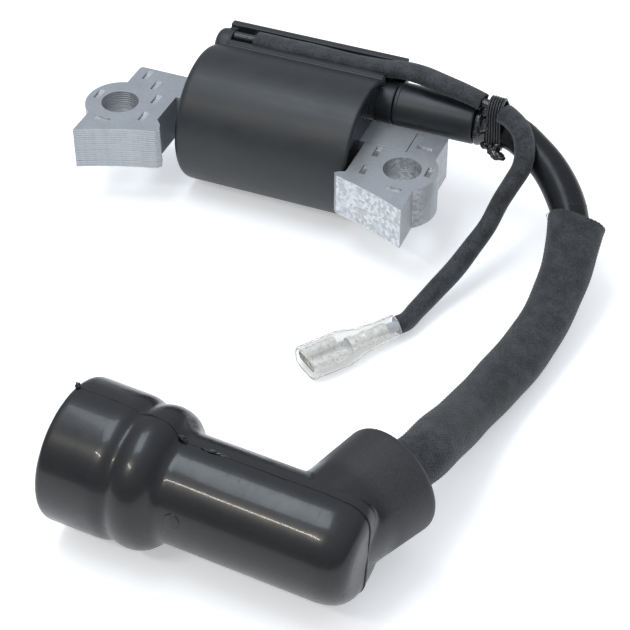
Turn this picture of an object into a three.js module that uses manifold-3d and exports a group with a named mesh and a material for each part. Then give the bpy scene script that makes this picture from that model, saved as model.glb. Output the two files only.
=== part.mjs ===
// Flywheel-magneto ignition coil of a small four-stroke engine: laminated core with two pole feet,
// moulded coil case, high-tension lead with an elbow spark plug boot, and a kill lead with a covered spade
// receptacle. Millimetres, +Z up. The coil lies with its laminations level: +X runs along the coil towards
// the high-tension tower, and the pole feet point to -Y.
import * as THREE from 'three';
import { mergeVertices } from 'three/addons/utils/BufferGeometryUtils.js';
import Module from 'manifold-3d';

const wasm = await Module();
wasm.setup();

// ---------------------------------------------------------------- driving dimensions
// Laminated core
const HOLE_SPACING = 60;          // between the two bolt holes
const BOLT_BORE = 7.4;            // clearance hole for an M6 bolt, loose for setting the air gap
const BOSS_RADIUS = 7;            // rounded lug around each bolt hole
const CORE_THICKNESS = 9;         // height of the lamination stack
const FLYWHEEL_RADIUS = 78;       // arc that both pole faces lie on
const FLYWHEEL_SETBACK = 77.8;    // its centre, ahead of the case's front
const FOOT_IN = 11.6;             // pole foot, inwards from the bolt hole's centre
const FOOT_OUT = 4.2;             // pole foot, outwards from the bolt hole's centre
const FLARE = 3.4;                // height of the foot's inner flare
const FOOT_AIR = 0.35;            // air between the right foot and the front of the case
const LEG_INNER = 9.7;            // inner side of the leg, inwards from the bolt hole
const LEFT_BACK_OUT = 1.8;        // back corner of the left leg, outwards from its hole
const RIGHT_BACK_OUT = 5;         // back corner of the right leg, wider for the yoke joint
const YOKE_BACK_Y = 13;           // back edge of the core
const YOKE_WIDTH = 7.4;           // yoke bar through the coil
const YOKE_TONGUE = 8.4;          // length of the yoke's end inside the right leg
const JOINT_GAP = 0.15;           // hairline around the pressed yoke joint
const DIMPLE_DEPTH = 0.5;         // semi-pierced interlock dimples
const DIMPLE_WIDTH = 1.2;
const DIMPLE_LENGTH = 3.1;
const CORNER_FILLET = 0.7;

// Coil case
const CASE_RADIUS = 13.8;
const CASE_WALL = 1.2;
const CASE_FILLET = 1.4;
const RIM_CHAMFER = 0.5;
const LEFT_AIR = 3.8;             // air between the left leg and the case
const RIGHT_AIR = 0.65;           // air between the case and the right leg
const WINDOW_CLEARANCE = 0.3;     // case, board and bobbin around the yoke
const GROOVE_FRONT = 8.9;         // kill lead groove, behind the coil's axis
const GROOVE_WIDTH = 4.2;
const GROOVE_BITE = 0.56;         // how far the groove's floor cuts into the case's skin
const LIP_HEIGHT = 2.4;
const LIP_THICKNESS = 1.2;
const REAR_WALL_HEIGHT = 3.3;
const REAR_WALL_THICKNESS = 1.6;
const REAR_WALL_OVERRUN = 2.75;   // the rear wall runs on past the case's right end
const END_BLOCK_LENGTH = 3.6;     // block that closes the groove's left end
const END_BLOCK_OVERHANG = 1.0;
const KNOB_DROP = 0.6;            // the block's rounded top below the rear wall's top

// Windings, bobbins and trigger electronics
const BOBBIN_WALL = 0.45;
const BOBBIN_FLANGE = 0.9;
const PRIMARY_DEPTH = 1.5;        // radial build of the primary winding
const SECONDARY_DEPTH = 1.7;      // radial build of each secondary section
const SECONDARY_SECTIONS = 6;
const SECTION_WALL = 0.7;
const FIT = 0.25;                 // clearance between nested pieces
const RESIN_RECESS = 0.5;
const RESIN_FACE = 1.4;
const RESIN_SKIN = 0.4;
const BOARD_THICKNESS = 1.2;
const COMPONENT_SPACE = 3.8;

// High-tension tower and lead
const TOWER_RADIUS = 4.5;
const TOWER_LENGTH = 16.3;
const TOWER_BACK = 0.5;           // tower clear of the core's back edge
const TOWER_RISE = 1.5;           // tower axis above the core's top face
const STUB_RADIUS = 4.2;
const STUB_LENGTH = 2.75;
const STUB_BITE = 1.2;            // least the stub runs into the case's skin
const PIN_RADIUS = 0.9;
const PIN_HEAD = 0.5;             // thickness of the output contact's head
const LEAD_RADIUS = 3.5;          // 7 mm high-tension lead
const LEAD_FIT = 0.2;
const SLEEVE_FIT = 0.35;          // woven sleeve that lies loose on the lead
const SLEEVE_WALL = 0.7;
const FACE_GAP = 0.3;             // between pieces that meet face to face

// Kill lead
const KILL_SLEEVE_RADIUS = 1.9;
const KILL_WIRE_RADIUS = 1.0;
const KILL_SLEEVE_BORE = 1.35;    // radius of the woven sleeve's bore
const BARE_WIRE = 4.5;            // wire without a sleeve at the left end of the groove
const TIE_THICKNESS = 0.9;
const TIE_WIDTH = 2.6;
const TIE_CLEARANCE = 0.6;

// Spade receptacle and its clear cover
const TERMINAL_REAR = new THREE.Vector3(38.7, -26.15, 2.7);
const TERMINAL_YAW = 54;          // direction from the mouth towards the wire, degrees from +X
const COVER_LENGTH = 19.4;
const COVER_OVERHANG = 0.9;       // cover's mouth ahead of the receptacle's mouth
const RECEPTACLE_LENGTH = 6.4;
const COVER_BORE = 3.9;
const COVER_WALL = 0.4;
const COVER_WIDTH = 7.2;
const COVER_HEIGHT = 4.4;
const TAB_WIDTH = 4.8;
const TAB_SLOT = 0.9;
const RECEPTACLE_SHEET = 0.4;

// Spark plug boot
const BOOT_CORNER = new THREE.Vector3(48, -87.9, 12.5);
const BOOT_YAW = 175.4;           // direction of the plug leg, degrees from +X
const BOOT_ELBOW = 108;           // angle between the plug leg and the lead leg
const BOOT_BODY_RADIUS = 9.25;
const BOOT_END_FILLET = 5.5;
const BOOT_CUP_RADIUS = 12.4;
const BOOT_COLLAR_RADIUS = 12.15;
const BOOT_LENGTH = 43.8;         // from the elbow's centre to the mouth
const BOOT_CUP_LENGTH = 12.4;
const BOOT_COLLAR_LENGTH = 4.9;
const BOOT_MOUTH_BORE = 19;
const BOOT_BODY_BORE = 14.4;
const BOOT_POCKET_BORE = 9;
const LEAD_LEG_RADIUS = 9.6;      // at its end
const LEAD_LEG_TAPER = 1.0;       // thinner by this at the elbow
const LEAD_LEG_LENGTH = 18.4;
const LEAD_LEG_BELL = 11.6;
const BELL_DEPTH = 5;
const CLIP_RADIUS = 4.2;
const CLIP_WALL = 0.5;

// ---------------------------------------------------------------- places worked out from them
const holeX = HOLE_SPACING / 2;
const legInnerX = holeX - LEG_INNER;
const coilY = YOKE_BACK_Y - YOKE_WIDTH / 2;
const caseFrontY = coilY - CASE_RADIUS;
const flywheelY = caseFrontY - FLYWHEEL_SETBACK;
const coilZ = CASE_RADIUS;
const coreTopZ = coilZ + CORE_THICKNESS / 2;
const coreBottomZ = coilZ - CORE_THICKNESS / 2;
const caseLeftX = -legInnerX + LEFT_AIR;
const caseRightX = legInnerX - RIGHT_AIR;
const caseBore = CASE_RADIUS - CASE_WALL;
const resinX1 = caseRightX - RESIN_RECESS;
const resinX0 = resinX1 - RESIN_FACE;
const boardX = caseLeftX + CASE_WALL + FACE_GAP;
const boardFaceX = boardX + BOARD_THICKNESS;
const bobbinX0 = boardFaceX + COMPONENT_SPACE;
const bobbinX1 = resinX0 - FACE_GAP;
const towerZ = coreTopZ + TOWER_RISE;
const stubReach = Math.sqrt((caseBore + STUB_BITE - STUB_RADIUS) ** 2 - (towerZ - coilZ) ** 2);
const towerY = Math.max(YOKE_BACK_Y + TOWER_RADIUS + TOWER_BACK, coilY + stubReach);
const stubEndX = caseRightX + STUB_LENGTH;
const towerStartX = stubEndX + FACE_GAP;
const towerEndX = towerStartX + TOWER_LENGTH;
const grooveFloorDz = Math.sqrt((CASE_RADIUS - GROOVE_BITE) ** 2 - GROOVE_FRONT ** 2);
const grooveBack = GROOVE_FRONT + GROOVE_WIDTH;
const rearWallBack = grooveBack + REAR_WALL_THICKNESS;
const leadY = towerY;
const degrees = Math.PI / 180;

// ---------------------------------------------------------------- geometry helpers
// Joins shared vertices, drops the slivers on a lathe's axis and turns the faces outwards.
function weld(geometry) {
  const bare = geometry.clone();
  bare.deleteAttribute('normal');
  bare.deleteAttribute('uv');
  const merged = mergeVertices(bare, 1e-4);
  const position = merged.getAttribute('position');
  const index = merged.getIndex().array;
  const kept = [];
  let volume = 0;
  const corner = [new THREE.Vector3(), new THREE.Vector3(), new THREE.Vector3()];
  for (let i = 0; i < index.length; i += 3) {
    const [a, b, c] = [index[i], index[i + 1], index[i + 2]];
    if (a === b || b === c || c === a) continue;
    kept.push(a, b, c);
    corner.forEach((point, k) => point.fromBufferAttribute(position, index[i + k]));
    volume += corner[0].dot(corner[1].clone().cross(corner[2])) / 6;
  }
  if (volume < 0) {
    for (let i = 0; i < kept.length; i += 3) [kept[i + 1], kept[i + 2]] = [kept[i + 2], kept[i + 1]];
  }
  merged.setIndex(kept);
  return merged;
}

function toSolid(geometry) {
  const welded = weld(geometry);
  const vertProperties = new Float32Array(welded.getAttribute('position').array);
  const triVerts = new Uint32Array(welded.getIndex().array);
  return new wasm.Manifold(new wasm.Mesh({ numProp: 3, vertProperties, triVerts }));
}

function toGeometry(solid) {
  const { vertProperties, triVerts } = solid.getMesh();
  const geometry = new THREE.BufferGeometry();
  geometry.setAttribute('position', new THREE.BufferAttribute(new Float32Array(vertProperties), 3));
  geometry.setIndex(Array.from(triVerts));
  return geometry;
}

// Adds and cuts geometries: carve(body, [more pieces], [cuts]).
function carve(base, added, removed) {
  let solid = toSolid(base);
  for (const piece of added) solid = solid.add(toSolid(piece));
  for (const cut of removed) solid = solid.subtract(toSolid(cut));
  return toGeometry(solid);
}

// A solid of revolution about the X axis from [x, radius] points.
function spinX(points, segments = 40) {
  const profile = points.map(([x, radius]) => new THREE.Vector2(radius, x));
  const lathe = new THREE.LatheGeometry(profile, segments);
  lathe.rotateZ(-Math.PI / 2);
  return weld(lathe);
}

function rodX(x0, x1, radius, segments = 32) {
  return spinX([[x0, 0], [x0, radius], [x1, radius], [x1, 0]], segments);
}

function ringX(x0, x1, inner, outer, segments = 40) {
  return spinX([[x0, inner], [x0, outer], [x1, outer], [x1, inner], [x0, inner]], segments);
}

function box(x0, x1, y0, y1, z0, z1) {
  const geometry = new THREE.BoxGeometry(x1 - x0, y1 - y0, z1 - z0);
  geometry.translate((x0 + x1) / 2, (y0 + y1) / 2, (z0 + z1) / 2);
  return geometry;
}

// Extrudes a shape drawn in X and Y upwards from z0 to z1.
function slab(shape, z0, z1, curveSegments = 10) {
  const geometry = new THREE.ExtrudeGeometry(shape, { depth: z1 - z0, bevelEnabled: false, curveSegments });
  geometry.translate(0, 0, z0);
  return geometry;
}

// Extrudes a shape drawn in Y and Z along X, from x0 to x1.
function bar(shape, x0, x1, curveSegments = 10) {
  const geometry = new THREE.ExtrudeGeometry(shape, { depth: x1 - x0, bevelEnabled: false, curveSegments });
  geometry.applyMatrix4(new THREE.Matrix4().set(0, 0, 1, x0, 1, 0, 0, 0, 0, 1, 0, 0, 0, 0, 0, 1));
  return geometry;
}

// A tube along hand-placed route points, solid or with a bore.
function tube(points, radius, sides, steps, bore = 0) {
  const curve = new THREE.CatmullRomCurve3(points.map((p) => new THREE.Vector3(...p)), false, 'centripetal');
  const section = new THREE.Shape(circlePoints(radius, sides));
  if (bore > 0) section.holes.push(new THREE.Path(circlePoints(bore, sides)));
  return new THREE.ExtrudeGeometry(section, { steps, extrudePath: curve, bevelEnabled: false });
}

function circlePoints(radius, sides) {
  const points = [];
  for (let i = 0; i < sides; i += 1) {
    const angle = (2 * Math.PI * i) / sides;
    points.push(new THREE.Vector2(radius * Math.cos(angle), radius * Math.sin(angle)));
  }
  return points;
}

// A hollow loft along X between rounded-rectangle sections [x, halfWidth, halfHeight].
function hollowLoft(outer, inner, sides = 24) {
  const ring = ([x, halfWidth, halfHeight]) => {
    const points = [];
    for (let i = 0; i < sides; i += 1) {
      const angle = (2 * Math.PI * i) / sides;
      const c = Math.cos(angle);
      const s = Math.sin(angle);
      const y = halfWidth * Math.sign(c) * Math.abs(c) ** 0.6;
      const z = halfHeight * Math.sign(s) * Math.abs(s) ** 0.6;
      points.push(x, y, z);
    }
    return points;
  };
  const rings = [...outer, ...[...inner].reverse()];
  const position = rings.flatMap(ring);
  const index = [];
  for (let r = 0; r < rings.length; r += 1) {
    const next = (r + 1) % rings.length;
    for (let i = 0; i < sides; i += 1) {
      const j = (i + 1) % sides;
      const [a, b, c, d] = [r * sides + i, r * sides + j, next * sides + j, next * sides + i];
      index.push(a, b, c, a, c, d);
    }
  }
  const geometry = new THREE.BufferGeometry();
  geometry.setAttribute('position', new THREE.Float32BufferAttribute(position, 3));
  geometry.setIndex(index);
  return weld(geometry);
}

// ---------------------------------------------------------------- materials
const finish = (color, roughness, metalness, extra = {}) =>
  new THREE.MeshStandardMaterial({ color, roughness, metalness, ...extra });
const steel = finish(0xa9adb0, 0.42, 0.85);
const casePlastic = finish(0x202427, 0.55, 0);
const towerPlastic = finish(0x1b1e20, 0.5, 0);
const bobbinPlastic = finish(0x2c2c2a, 0.6, 0);
const resin = finish(0x15171a, 0.3, 0);
const copper = finish(0xa8552c, 0.35, 0.9);
const enamel = finish(0x7c3a1e, 0.4, 0.6);
const laminate = finish(0x2f5d3a, 0.6, 0);
const component = finish(0x17181a, 0.5, 0);
const brass = finish(0xb79a54, 0.35, 0.9);
const leadRubber = finish(0x17191b, 0.45, 0);
const weave = finish(0x222426, 0.85, 0);
const bootRubber = finish(0x0f1112, 0.35, 0);
const tin = finish(0xb9bcbd, 0.35, 0.9);
const clear = finish(0xdfe3e4, 0.15, 0, { transparent: true, opacity: 0.4 });
const glue = finish(0x0c0d0e, 0.12, 0);

const coil = new THREE.Group();
const bench = new THREE.Group();
coil.add(bench);

function place(name, geometry, material, parent = bench) {
  const mesh = new THREE.Mesh(weld(geometry), material);
  mesh.name = name;
  parent.add(mesh);
  return mesh;
}

// ---------------------------------------------------------------- laminated core
// Leg outline for the right side (x positive); side = -1 mirrors it.
function legShape(side, backOut, flareTopY) {
  const innerX = legInnerX;
  const footInX = holeX - FOOT_IN;
  const footOutX = holeX + FOOT_OUT;
  const arcAngle = (x) => Math.acos(x / FLYWHEEL_RADIUS);
  const waistAngle = -Math.acos(FOOT_OUT / BOSS_RADIUS);
  const backAngle = Math.acos(backOut / BOSS_RADIUS);
  const footInY = flywheelY + FLYWHEEL_RADIUS * Math.sin(arcAngle(footInX));
  const points = [];
  const arc = (cx, cy, radius, from, to, steps) => {
    for (let i = 0; i <= steps; i += 1) {
      const angle = from + ((to - from) * i) / steps;
      points.push([cx + radius * Math.cos(angle), cy + radius * Math.sin(angle)]);
    }
  };
  arc(0, flywheelY, FLYWHEEL_RADIUS, arcAngle(footInX + CORNER_FILLET), arcAngle(footOutX), 4);
  arc(holeX, 0, BOSS_RADIUS, waistAngle, backAngle, 12);
  const backX = holeX + backOut;
  arc(backX - CORNER_FILLET, YOKE_BACK_Y - CORNER_FILLET, CORNER_FILLET, 0, Math.PI / 2, 3);
  const flareY = Math.min(footInY + FLARE, flareTopY);
  const flareHeight = flareY - footInY - CORNER_FILLET;
  points.push([innerX, YOKE_BACK_Y]);
  points.push([innerX, flareY + 0.3]);
  points.push([innerX - 0.25, flareY]);
  points.push([innerX - 0.6 * (innerX - footInX), flareY - 0.35 * flareHeight]);
  points.push([footInX, footInY + CORNER_FILLET]);
  return new THREE.Shape(points.map(([x, y]) => new THREE.Vector2(side * x, y)));
}

// Interlock dimples: [outwards from x = 0, y, runs along X].
const dimples = [
  [holeX - 6.65, -2.8, false],
  [holeX - 6.4, 3.4, false],
  [holeX - 4.15, 7.9, false],
  [holeX + 5.1, 0.9, false],
  [holeX + 0.6, -6.6, true],
];

function dimpleBox(side, [outwards, y, alongX]) {
  const halfX = (alongX ? DIMPLE_LENGTH : DIMPLE_WIDTH) / 2;
  const halfY = (alongX ? DIMPLE_WIDTH : DIMPLE_LENGTH) / 2;
  const x = side * outwards;
  return box(x - halfX, x + halfX, y - halfY, y + halfY, coreTopZ - DIMPLE_DEPTH, coreTopZ + 1);
}

function legSolid(side, backOut, flareTopY, extraDimples, added, removed) {
  const bolt = new THREE.CylinderGeometry(BOLT_BORE / 2, BOLT_BORE / 2, CORE_THICKNESS + 2, 28);
  bolt.rotateX(Math.PI / 2);
  bolt.translate(side * holeX, 0, coilZ);
  const leg = slab(legShape(side, backOut, flareTopY), coreBottomZ, coreTopZ);
  const marks = [...dimples, ...extraDimples].map((mark) => dimpleBox(side, mark));
  return carve(leg, added, [...removed, bolt, ...marks]);
}

const yokeFrontY = YOKE_BACK_Y - YOKE_WIDTH;
const tongueEndX = legInnerX + YOKE_TONGUE;
const overlapIntoLeg = 2;
const yoke = box(-legInnerX - overlapIntoLeg, tongueEndX, yokeFrontY, YOKE_BACK_Y, coreBottomZ, coreTopZ);
const yokeSlot = box(legInnerX - 1, tongueEndX + JOINT_GAP, yokeFrontY - JOINT_GAP, YOKE_BACK_Y + 1,
  coreBottomZ - 1, coreTopZ + 1);
place('core_main_stack',
  legSolid(-1, LEFT_BACK_OUT, 0, [[holeX - 0.9, 10.6, false]], [yoke], []), steel);
place('core_right_leg_stack',
  legSolid(1, RIGHT_BACK_OUT, caseFrontY - FOOT_AIR, [[holeX + 1.7, 7.9, true]], [], [yokeSlot]), steel);

// ---------------------------------------------------------------- coil case
function yokeWindow(x0, x1, clearance) {
  return box(x0, x1, yokeFrontY - clearance, YOKE_BACK_Y + clearance,
    coreBottomZ - clearance, coreTopZ + clearance);
}

function onCoilAxis(geometry) {
  geometry.translate(0, coilY, coilZ);
  return geometry;
}

function onTowerAxis(geometry) {
  geometry.translate(0, towerY, towerZ);
  return geometry;
}

function caseBody() {
  const f = CASE_FILLET;
  const R = CASE_RADIUS;
  const shell = spinX([
    [caseLeftX, 0], [caseLeftX, R - f], [caseLeftX + 0.3 * f, R - 0.3 * f], [caseLeftX + f, R],
    [caseRightX - RIM_CHAMFER, R], [caseRightX, R - RIM_CHAMFER], [caseRightX, 0],
  ], 48);
  const lipFront = GROOVE_FRONT - LIP_THICKNESS;
  const wallTop = grooveFloorDz + REAR_WALL_HEIGHT;
  const section = new THREE.Shape([
    [lipFront - 0.4, grooveFloorDz + 0.8], [lipFront, wallTop], [rearWallBack, wallTop], [rearWallBack, 2],
    [Math.min(rearWallBack, R) - 0.7, -0.5], [4, 4],
  ].map(([y, z]) => new THREE.Vector2(y, z)));
  const channel = bar(section, caseLeftX + 1, caseRightX);
  const knobRadius = (rearWallBack - lipFront) / 2;
  const knobX = caseLeftX - END_BLOCK_OVERHANG;
  const grooveStartX = knobX + END_BLOCK_LENGTH;
  const knob = spinX([
    [knobX, 0], [knobX, knobRadius - 1.4], [knobX + 0.4, knobRadius - 0.4], [knobX + 1.4, knobRadius],
    [grooveStartX, knobRadius], [grooveStartX, 0],
  ], 24);
  knob.translate(0, lipFront + knobRadius, wallTop - KNOB_DROP - knobRadius);
  const wallRun = box(caseRightX - 1, stubEndX, grooveBack, rearWallBack, 2, wallTop);
  const stub = onTowerAxis(rodX(bobbinX1 + FACE_GAP, stubEndX, STUB_RADIUS));
  const groove = box(grooveStartX, caseRightX + 5, GROOVE_FRONT, grooveBack, grooveFloorDz, R * 2);
  const lipTrim = box(grooveStartX, caseRightX + 5, lipFront - 1, GROOVE_FRONT + 0.1,
    grooveFloorDz + LIP_HEIGHT, R * 2);
  const knobTop = box(caseLeftX, grooveStartX + 0.01, lipFront - 1, rearWallBack - REAR_WALL_THICKNESS,
    wallTop - KNOB_DROP - knobRadius, R * 2);
  const cavity = rodX(caseLeftX + CASE_WALL, caseRightX + 5, caseBore, 48);
  const pinHole = onTowerAxis(rodX(bobbinX1 - 1, stubEndX + 1, PIN_RADIUS + FIT, 16));
  const window = yokeWindow(caseLeftX - 2, caseRightX + 1, WINDOW_CLEARANCE);
  const walls = carve(onCoilAxis(channel), [], [onCoilAxis(knobTop)]);
  const moulding = carve(onCoilAxis(shell), [walls, onCoilAxis(knob), onCoilAxis(wallRun)],
    [onCoilAxis(cavity), onCoilAxis(groove), onCoilAxis(lipTrim)]);
  return carve(moulding, [stub], [pinHole, window]);
}
place('coil_case', caseBody(), casePlastic);

// ---------------------------------------------------------------- inside the case
function windowed(geometry, x0, x1, clearance, cuts = []) {
  return carve(onCoilAxis(geometry), [], [yokeWindow(x0, x1, clearance), ...cuts]);
}

const resinRadius = caseBore - FIT;
const resinInner = resinRadius - RESIN_SKIN;
const stubNotch = onTowerAxis(rodX(resinX0 - 0.2, resinX1 + 1, STUB_RADIUS + FIT));
place('potting_resin', windowed(spinX([
  [resinX1, 0], [resinX1, resinRadius], [bobbinX0, resinRadius], [bobbinX0, resinInner],
  [resinX0, resinInner], [resinX0, 0],
]), resinX0 - 1, resinX1 + 1, WINDOW_CLEARANCE, [stubNotch]), resin);

const hubRadius = Math.hypot(YOKE_WIDTH / 2 + WINDOW_CLEARANCE, CORE_THICKNESS / 2 + WINDOW_CLEARANCE)
  + BOBBIN_WALL;
const primaryOuter = hubRadius + FIT + PRIMARY_DEPTH;
const primaryFlange = primaryOuter + 0.15;
place('primary_bobbin', windowed(spinX([
  [bobbinX0, 0], [bobbinX0, primaryFlange], [bobbinX0 + BOBBIN_FLANGE, primaryFlange],
  [bobbinX0 + BOBBIN_FLANGE, hubRadius], [bobbinX1 - BOBBIN_FLANGE, hubRadius],
  [bobbinX1 - BOBBIN_FLANGE, primaryFlange], [bobbinX1, primaryFlange], [bobbinX1, 0],
], 32), bobbinX0 - 1, bobbinX1 + 1, WINDOW_CLEARANCE), bobbinPlastic);
place('primary_winding', onCoilAxis(ringX(bobbinX0 + BOBBIN_FLANGE + FIT, bobbinX1 - BOBBIN_FLANGE - FIT,
  hubRadius + FIT, primaryOuter, 32)), copper);

const secondaryBore = primaryFlange + FIT;
const secondaryHub = secondaryBore + 0.6;
const secondaryOuter = secondaryHub + FIT + SECONDARY_DEPTH;
const secondaryFlange = Math.min(secondaryOuter + 0.3, resinInner - 0.15);
const sectionPitch = (bobbinX1 - bobbinX0 - SECTION_WALL) / SECONDARY_SECTIONS;
function secondaryProfile() {
  const points = [[bobbinX0, secondaryBore]];
  for (let i = 0; i <= SECONDARY_SECTIONS; i += 1) {
    const x = bobbinX0 + i * sectionPitch;
    if (i > 0) points.push([x, secondaryHub]);
    points.push([x, secondaryFlange], [x + SECTION_WALL, secondaryFlange]);
    if (i < SECONDARY_SECTIONS) points.push([x + SECTION_WALL, secondaryHub]);
  }
  points.push([bobbinX1, secondaryBore], [bobbinX0, secondaryBore]);
  return points;
}
place('secondary_bobbin', onCoilAxis(spinX(secondaryProfile(), 24)), bobbinPlastic);
for (let i = 0; i < SECONDARY_SECTIONS; i += 1) {
  const x = bobbinX0 + i * sectionPitch + SECTION_WALL;
  place(`secondary_winding_${i + 1}`, onCoilAxis(ringX(x + FIT, x + sectionPitch - SECTION_WALL - FIT,
    secondaryHub + FIT, Math.min(secondaryOuter, secondaryFlange - 0.1), 20)), enamel);
}

const boardRadius = resinInner - FIT;
place('trigger_board', windowed(rodX(boardX, boardFaceX, boardRadius, 32), boardX - 1, boardFaceX + 1,
  2 * WINDOW_CLEARANCE), laminate);
const aboveYoke = coreTopZ + 2 * WINDOW_CLEARANCE + 0.4;
const belowYoke = coreBottomZ - 2 * WINDOW_CLEARANCE - 0.4;
place('power_transistor', box(boardFaceX, boardFaceX + 2.6, coilY - 3.4, coilY + 3.4, aboveYoke,
  aboveYoke + 4.2), component);
place('trigger_resistor', box(boardFaceX, boardFaceX + 1.4, coilY - 3.1, coilY - 0.4, belowYoke - 1.8,
  belowYoke), component);
place('bias_resistor', box(boardFaceX, boardFaceX + 1.4, coilY + 0.4, coilY + 3.1, belowYoke - 1.8,
  belowYoke), component);
place('suppression_diode', box(boardFaceX, boardFaceX + 2.2, yokeFrontY - 4.2, yokeFrontY - 1.4,
  coilZ - 2.3, coilZ + 2.3), component);
place('kill_lead_pad', box(boardFaceX, boardFaceX + 0.6, YOKE_BACK_Y + 1.5, YOKE_BACK_Y + 4,
  coilZ - 1.5, coilZ + 1.5), brass);
place('ground_tab', box(boardFaceX, boardFaceX + 3, coilY - 1.2, coilY + 1.2, coreTopZ + 0.05,
  coreTopZ + 0.4), brass);

// ---------------------------------------------------------------- high-tension tower and lead
const headX = stubEndX + 0.1;
place('ht_output_pin', onTowerAxis(spinX([
  [resinX0, 0], [resinX0, PIN_RADIUS], [headX, PIN_RADIUS], [headX, 2.2],
  [headX + PIN_HEAD, 2.2], [headX + PIN_HEAD, 0],
], 16)), brass);
const towerBore = LEAD_RADIUS + LEAD_FIT;
place('ht_tower', onTowerAxis(spinX([
  [towerStartX, towerBore], [towerStartX, TOWER_RADIUS - 0.1], [towerStartX + 0.8, TOWER_RADIUS + 0.15],
  [towerEndX - 0.6, TOWER_RADIUS], [towerEndX, TOWER_RADIUS - 0.5], [towerEndX, towerBore],
  [towerStartX, towerBore],
], 32)), towerPlastic);
place('lead_sealant', onTowerAxis(spinX([
  [towerEndX + 0.3, towerBore - 0.05], [towerEndX + 0.3, TOWER_RADIUS - 0.4],
  [towerEndX + 1.2, TOWER_RADIUS - 0.1], [towerEndX + 2.2, towerBore + 0.1],
  [towerEndX + 2.2, towerBore - 0.05], [towerEndX + 0.3, towerBore - 0.05],
], 24)), glue);

// The lead leaves the tower, bends round to the front, comes down to the surface it lies on and rises
// again into the boot. The last points run straight into the boot's lead leg.
const leadYaw = BOOT_YAW - BOOT_ELBOW;
const intoLead = new THREE.Vector3(Math.cos(leadYaw * degrees), Math.sin(leadYaw * degrees), 0);
const onLeadLeg = (distance) => BOOT_CORNER.clone().addScaledVector(intoLead, distance).toArray();
const leadStartX = headX + PIN_HEAD + FACE_GAP;
const spikeTip = 8.6;
const leadRoute = [
  [leadStartX, leadY, towerZ], [30, leadY, towerZ], [36, leadY, towerZ], [42, leadY, towerZ],
  [47, 17.1, 19.7], [51.6, 14.3, 19.0], [55.5, 11.6, 17.8], [59.1, 8.2, 16.0], [62.2, 4.0, 13.9],
  [64.0, -1.0, 11.7], [64.9, -6.5, 9.4], [65.0, -12.5, 7.4], [64.6, -18.5, 6.0], [63.8, -24.5, 5.2],
  [62.7, -30.5, 5.05], [61.5, -36.5, 5.3], [60.4, -42.5, 6.1], [59.5, -48.8, 7.5], [58.8, -54.8, 9.4],
  [58.2, -60.0, 11.2], onLeadLeg(24.5), onLeadLeg(19), onLeadLeg(13), onLeadLeg(spikeTip + FACE_GAP),
];
place('ht_lead', tube(leadRoute, LEAD_RADIUS, 12, 50), leadRubber);
const sleeveBore = LEAD_RADIUS + SLEEVE_FIT;
const sleeveRoute = [...leadRoute.slice(8, 20), onLeadLeg(24.5), onLeadLeg(19), onLeadLeg(15)];
place('ht_lead_sleeve', tube(sleeveRoute, sleeveBore + SLEEVE_WALL, 12, 26, sleeveBore), weave);

// ---------------------------------------------------------------- kill lead
const wireY = coilY + GROOVE_FRONT + GROOVE_WIDTH / 2;
const wireZ = coilZ + grooveFloorDz + KILL_SLEEVE_RADIUS + 0.1;
const grooveX0 = caseLeftX - END_BLOCK_OVERHANG + END_BLOCK_LENGTH + FACE_GAP;
const sleeveX0 = grooveX0 + BARE_WIRE;

const terminalYaw = TERMINAL_YAW * degrees;
const alongWire = new THREE.Vector3(Math.cos(terminalYaw), Math.sin(terminalYaw), 0);
const behindTerminal = (distance) => TERMINAL_REAR.clone().addScaledVector(alongWire, distance).toArray();
const receptacleMouthX = -COVER_LENGTH + COVER_OVERHANG;
const receptacleBackX = receptacleMouthX + RECEPTACLE_LENGTH;
const crimpX = receptacleBackX + 1.8;
const killRoute = [
  [grooveX0, wireY, wireZ], [sleeveX0, wireY, wireZ], [0, wireY, wireZ], [8, wireY, wireZ],
  [15, wireY, wireZ], [19, wireY, wireZ + 0.25], [22.5, 20.2, 26.45], [26, 19.5, 26.75],
  [30, 18.5, 26.8], [35, 17.4, 26.6], [40.3, 16.3, 25.9], [43, 15.6, 25.5], [46.2, 14.2, 25.3],
  [49.3, 12.0, 24.6], [50.8, 10.2, 22.6], [51.2, 7.9, 19.6], [50.1, 6.0, 16.5], [48.6, 3.3, 13.0],
  [47.5, -0.7, 9.8], [45.9, -5.7, 7.3], [44.1, -11.3, 5.3], [42.4, -16.2, 3.9], [40.9, -20.9, 3.1],
  behindTerminal(2.4), behindTerminal(FACE_GAP), behindTerminal(-4), behindTerminal(crimpX + 0.7),
];
const upperSleeveEnd = 10;        // route points at the ends of the two woven sleeves
const lowerSleeveStart = 12;
const lowerSleeveEnd = killRoute.length - 3;
const tieStation = 11;            // route point in the middle of the tie
place('kill_wire', tube(killRoute, KILL_WIRE_RADIUS, 8, 60), leadRubber);
place('kill_sleeve_upper', tube(killRoute.slice(1, upperSleeveEnd + 1), KILL_SLEEVE_RADIUS, 8, 16,
  KILL_SLEEVE_BORE), weave);
place('kill_sleeve_lower', tube(killRoute.slice(lowerSleeveStart, lowerSleeveEnd + 1), KILL_SLEEVE_RADIUS,
  8, 30, KILL_SLEEVE_BORE), weave);

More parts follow.
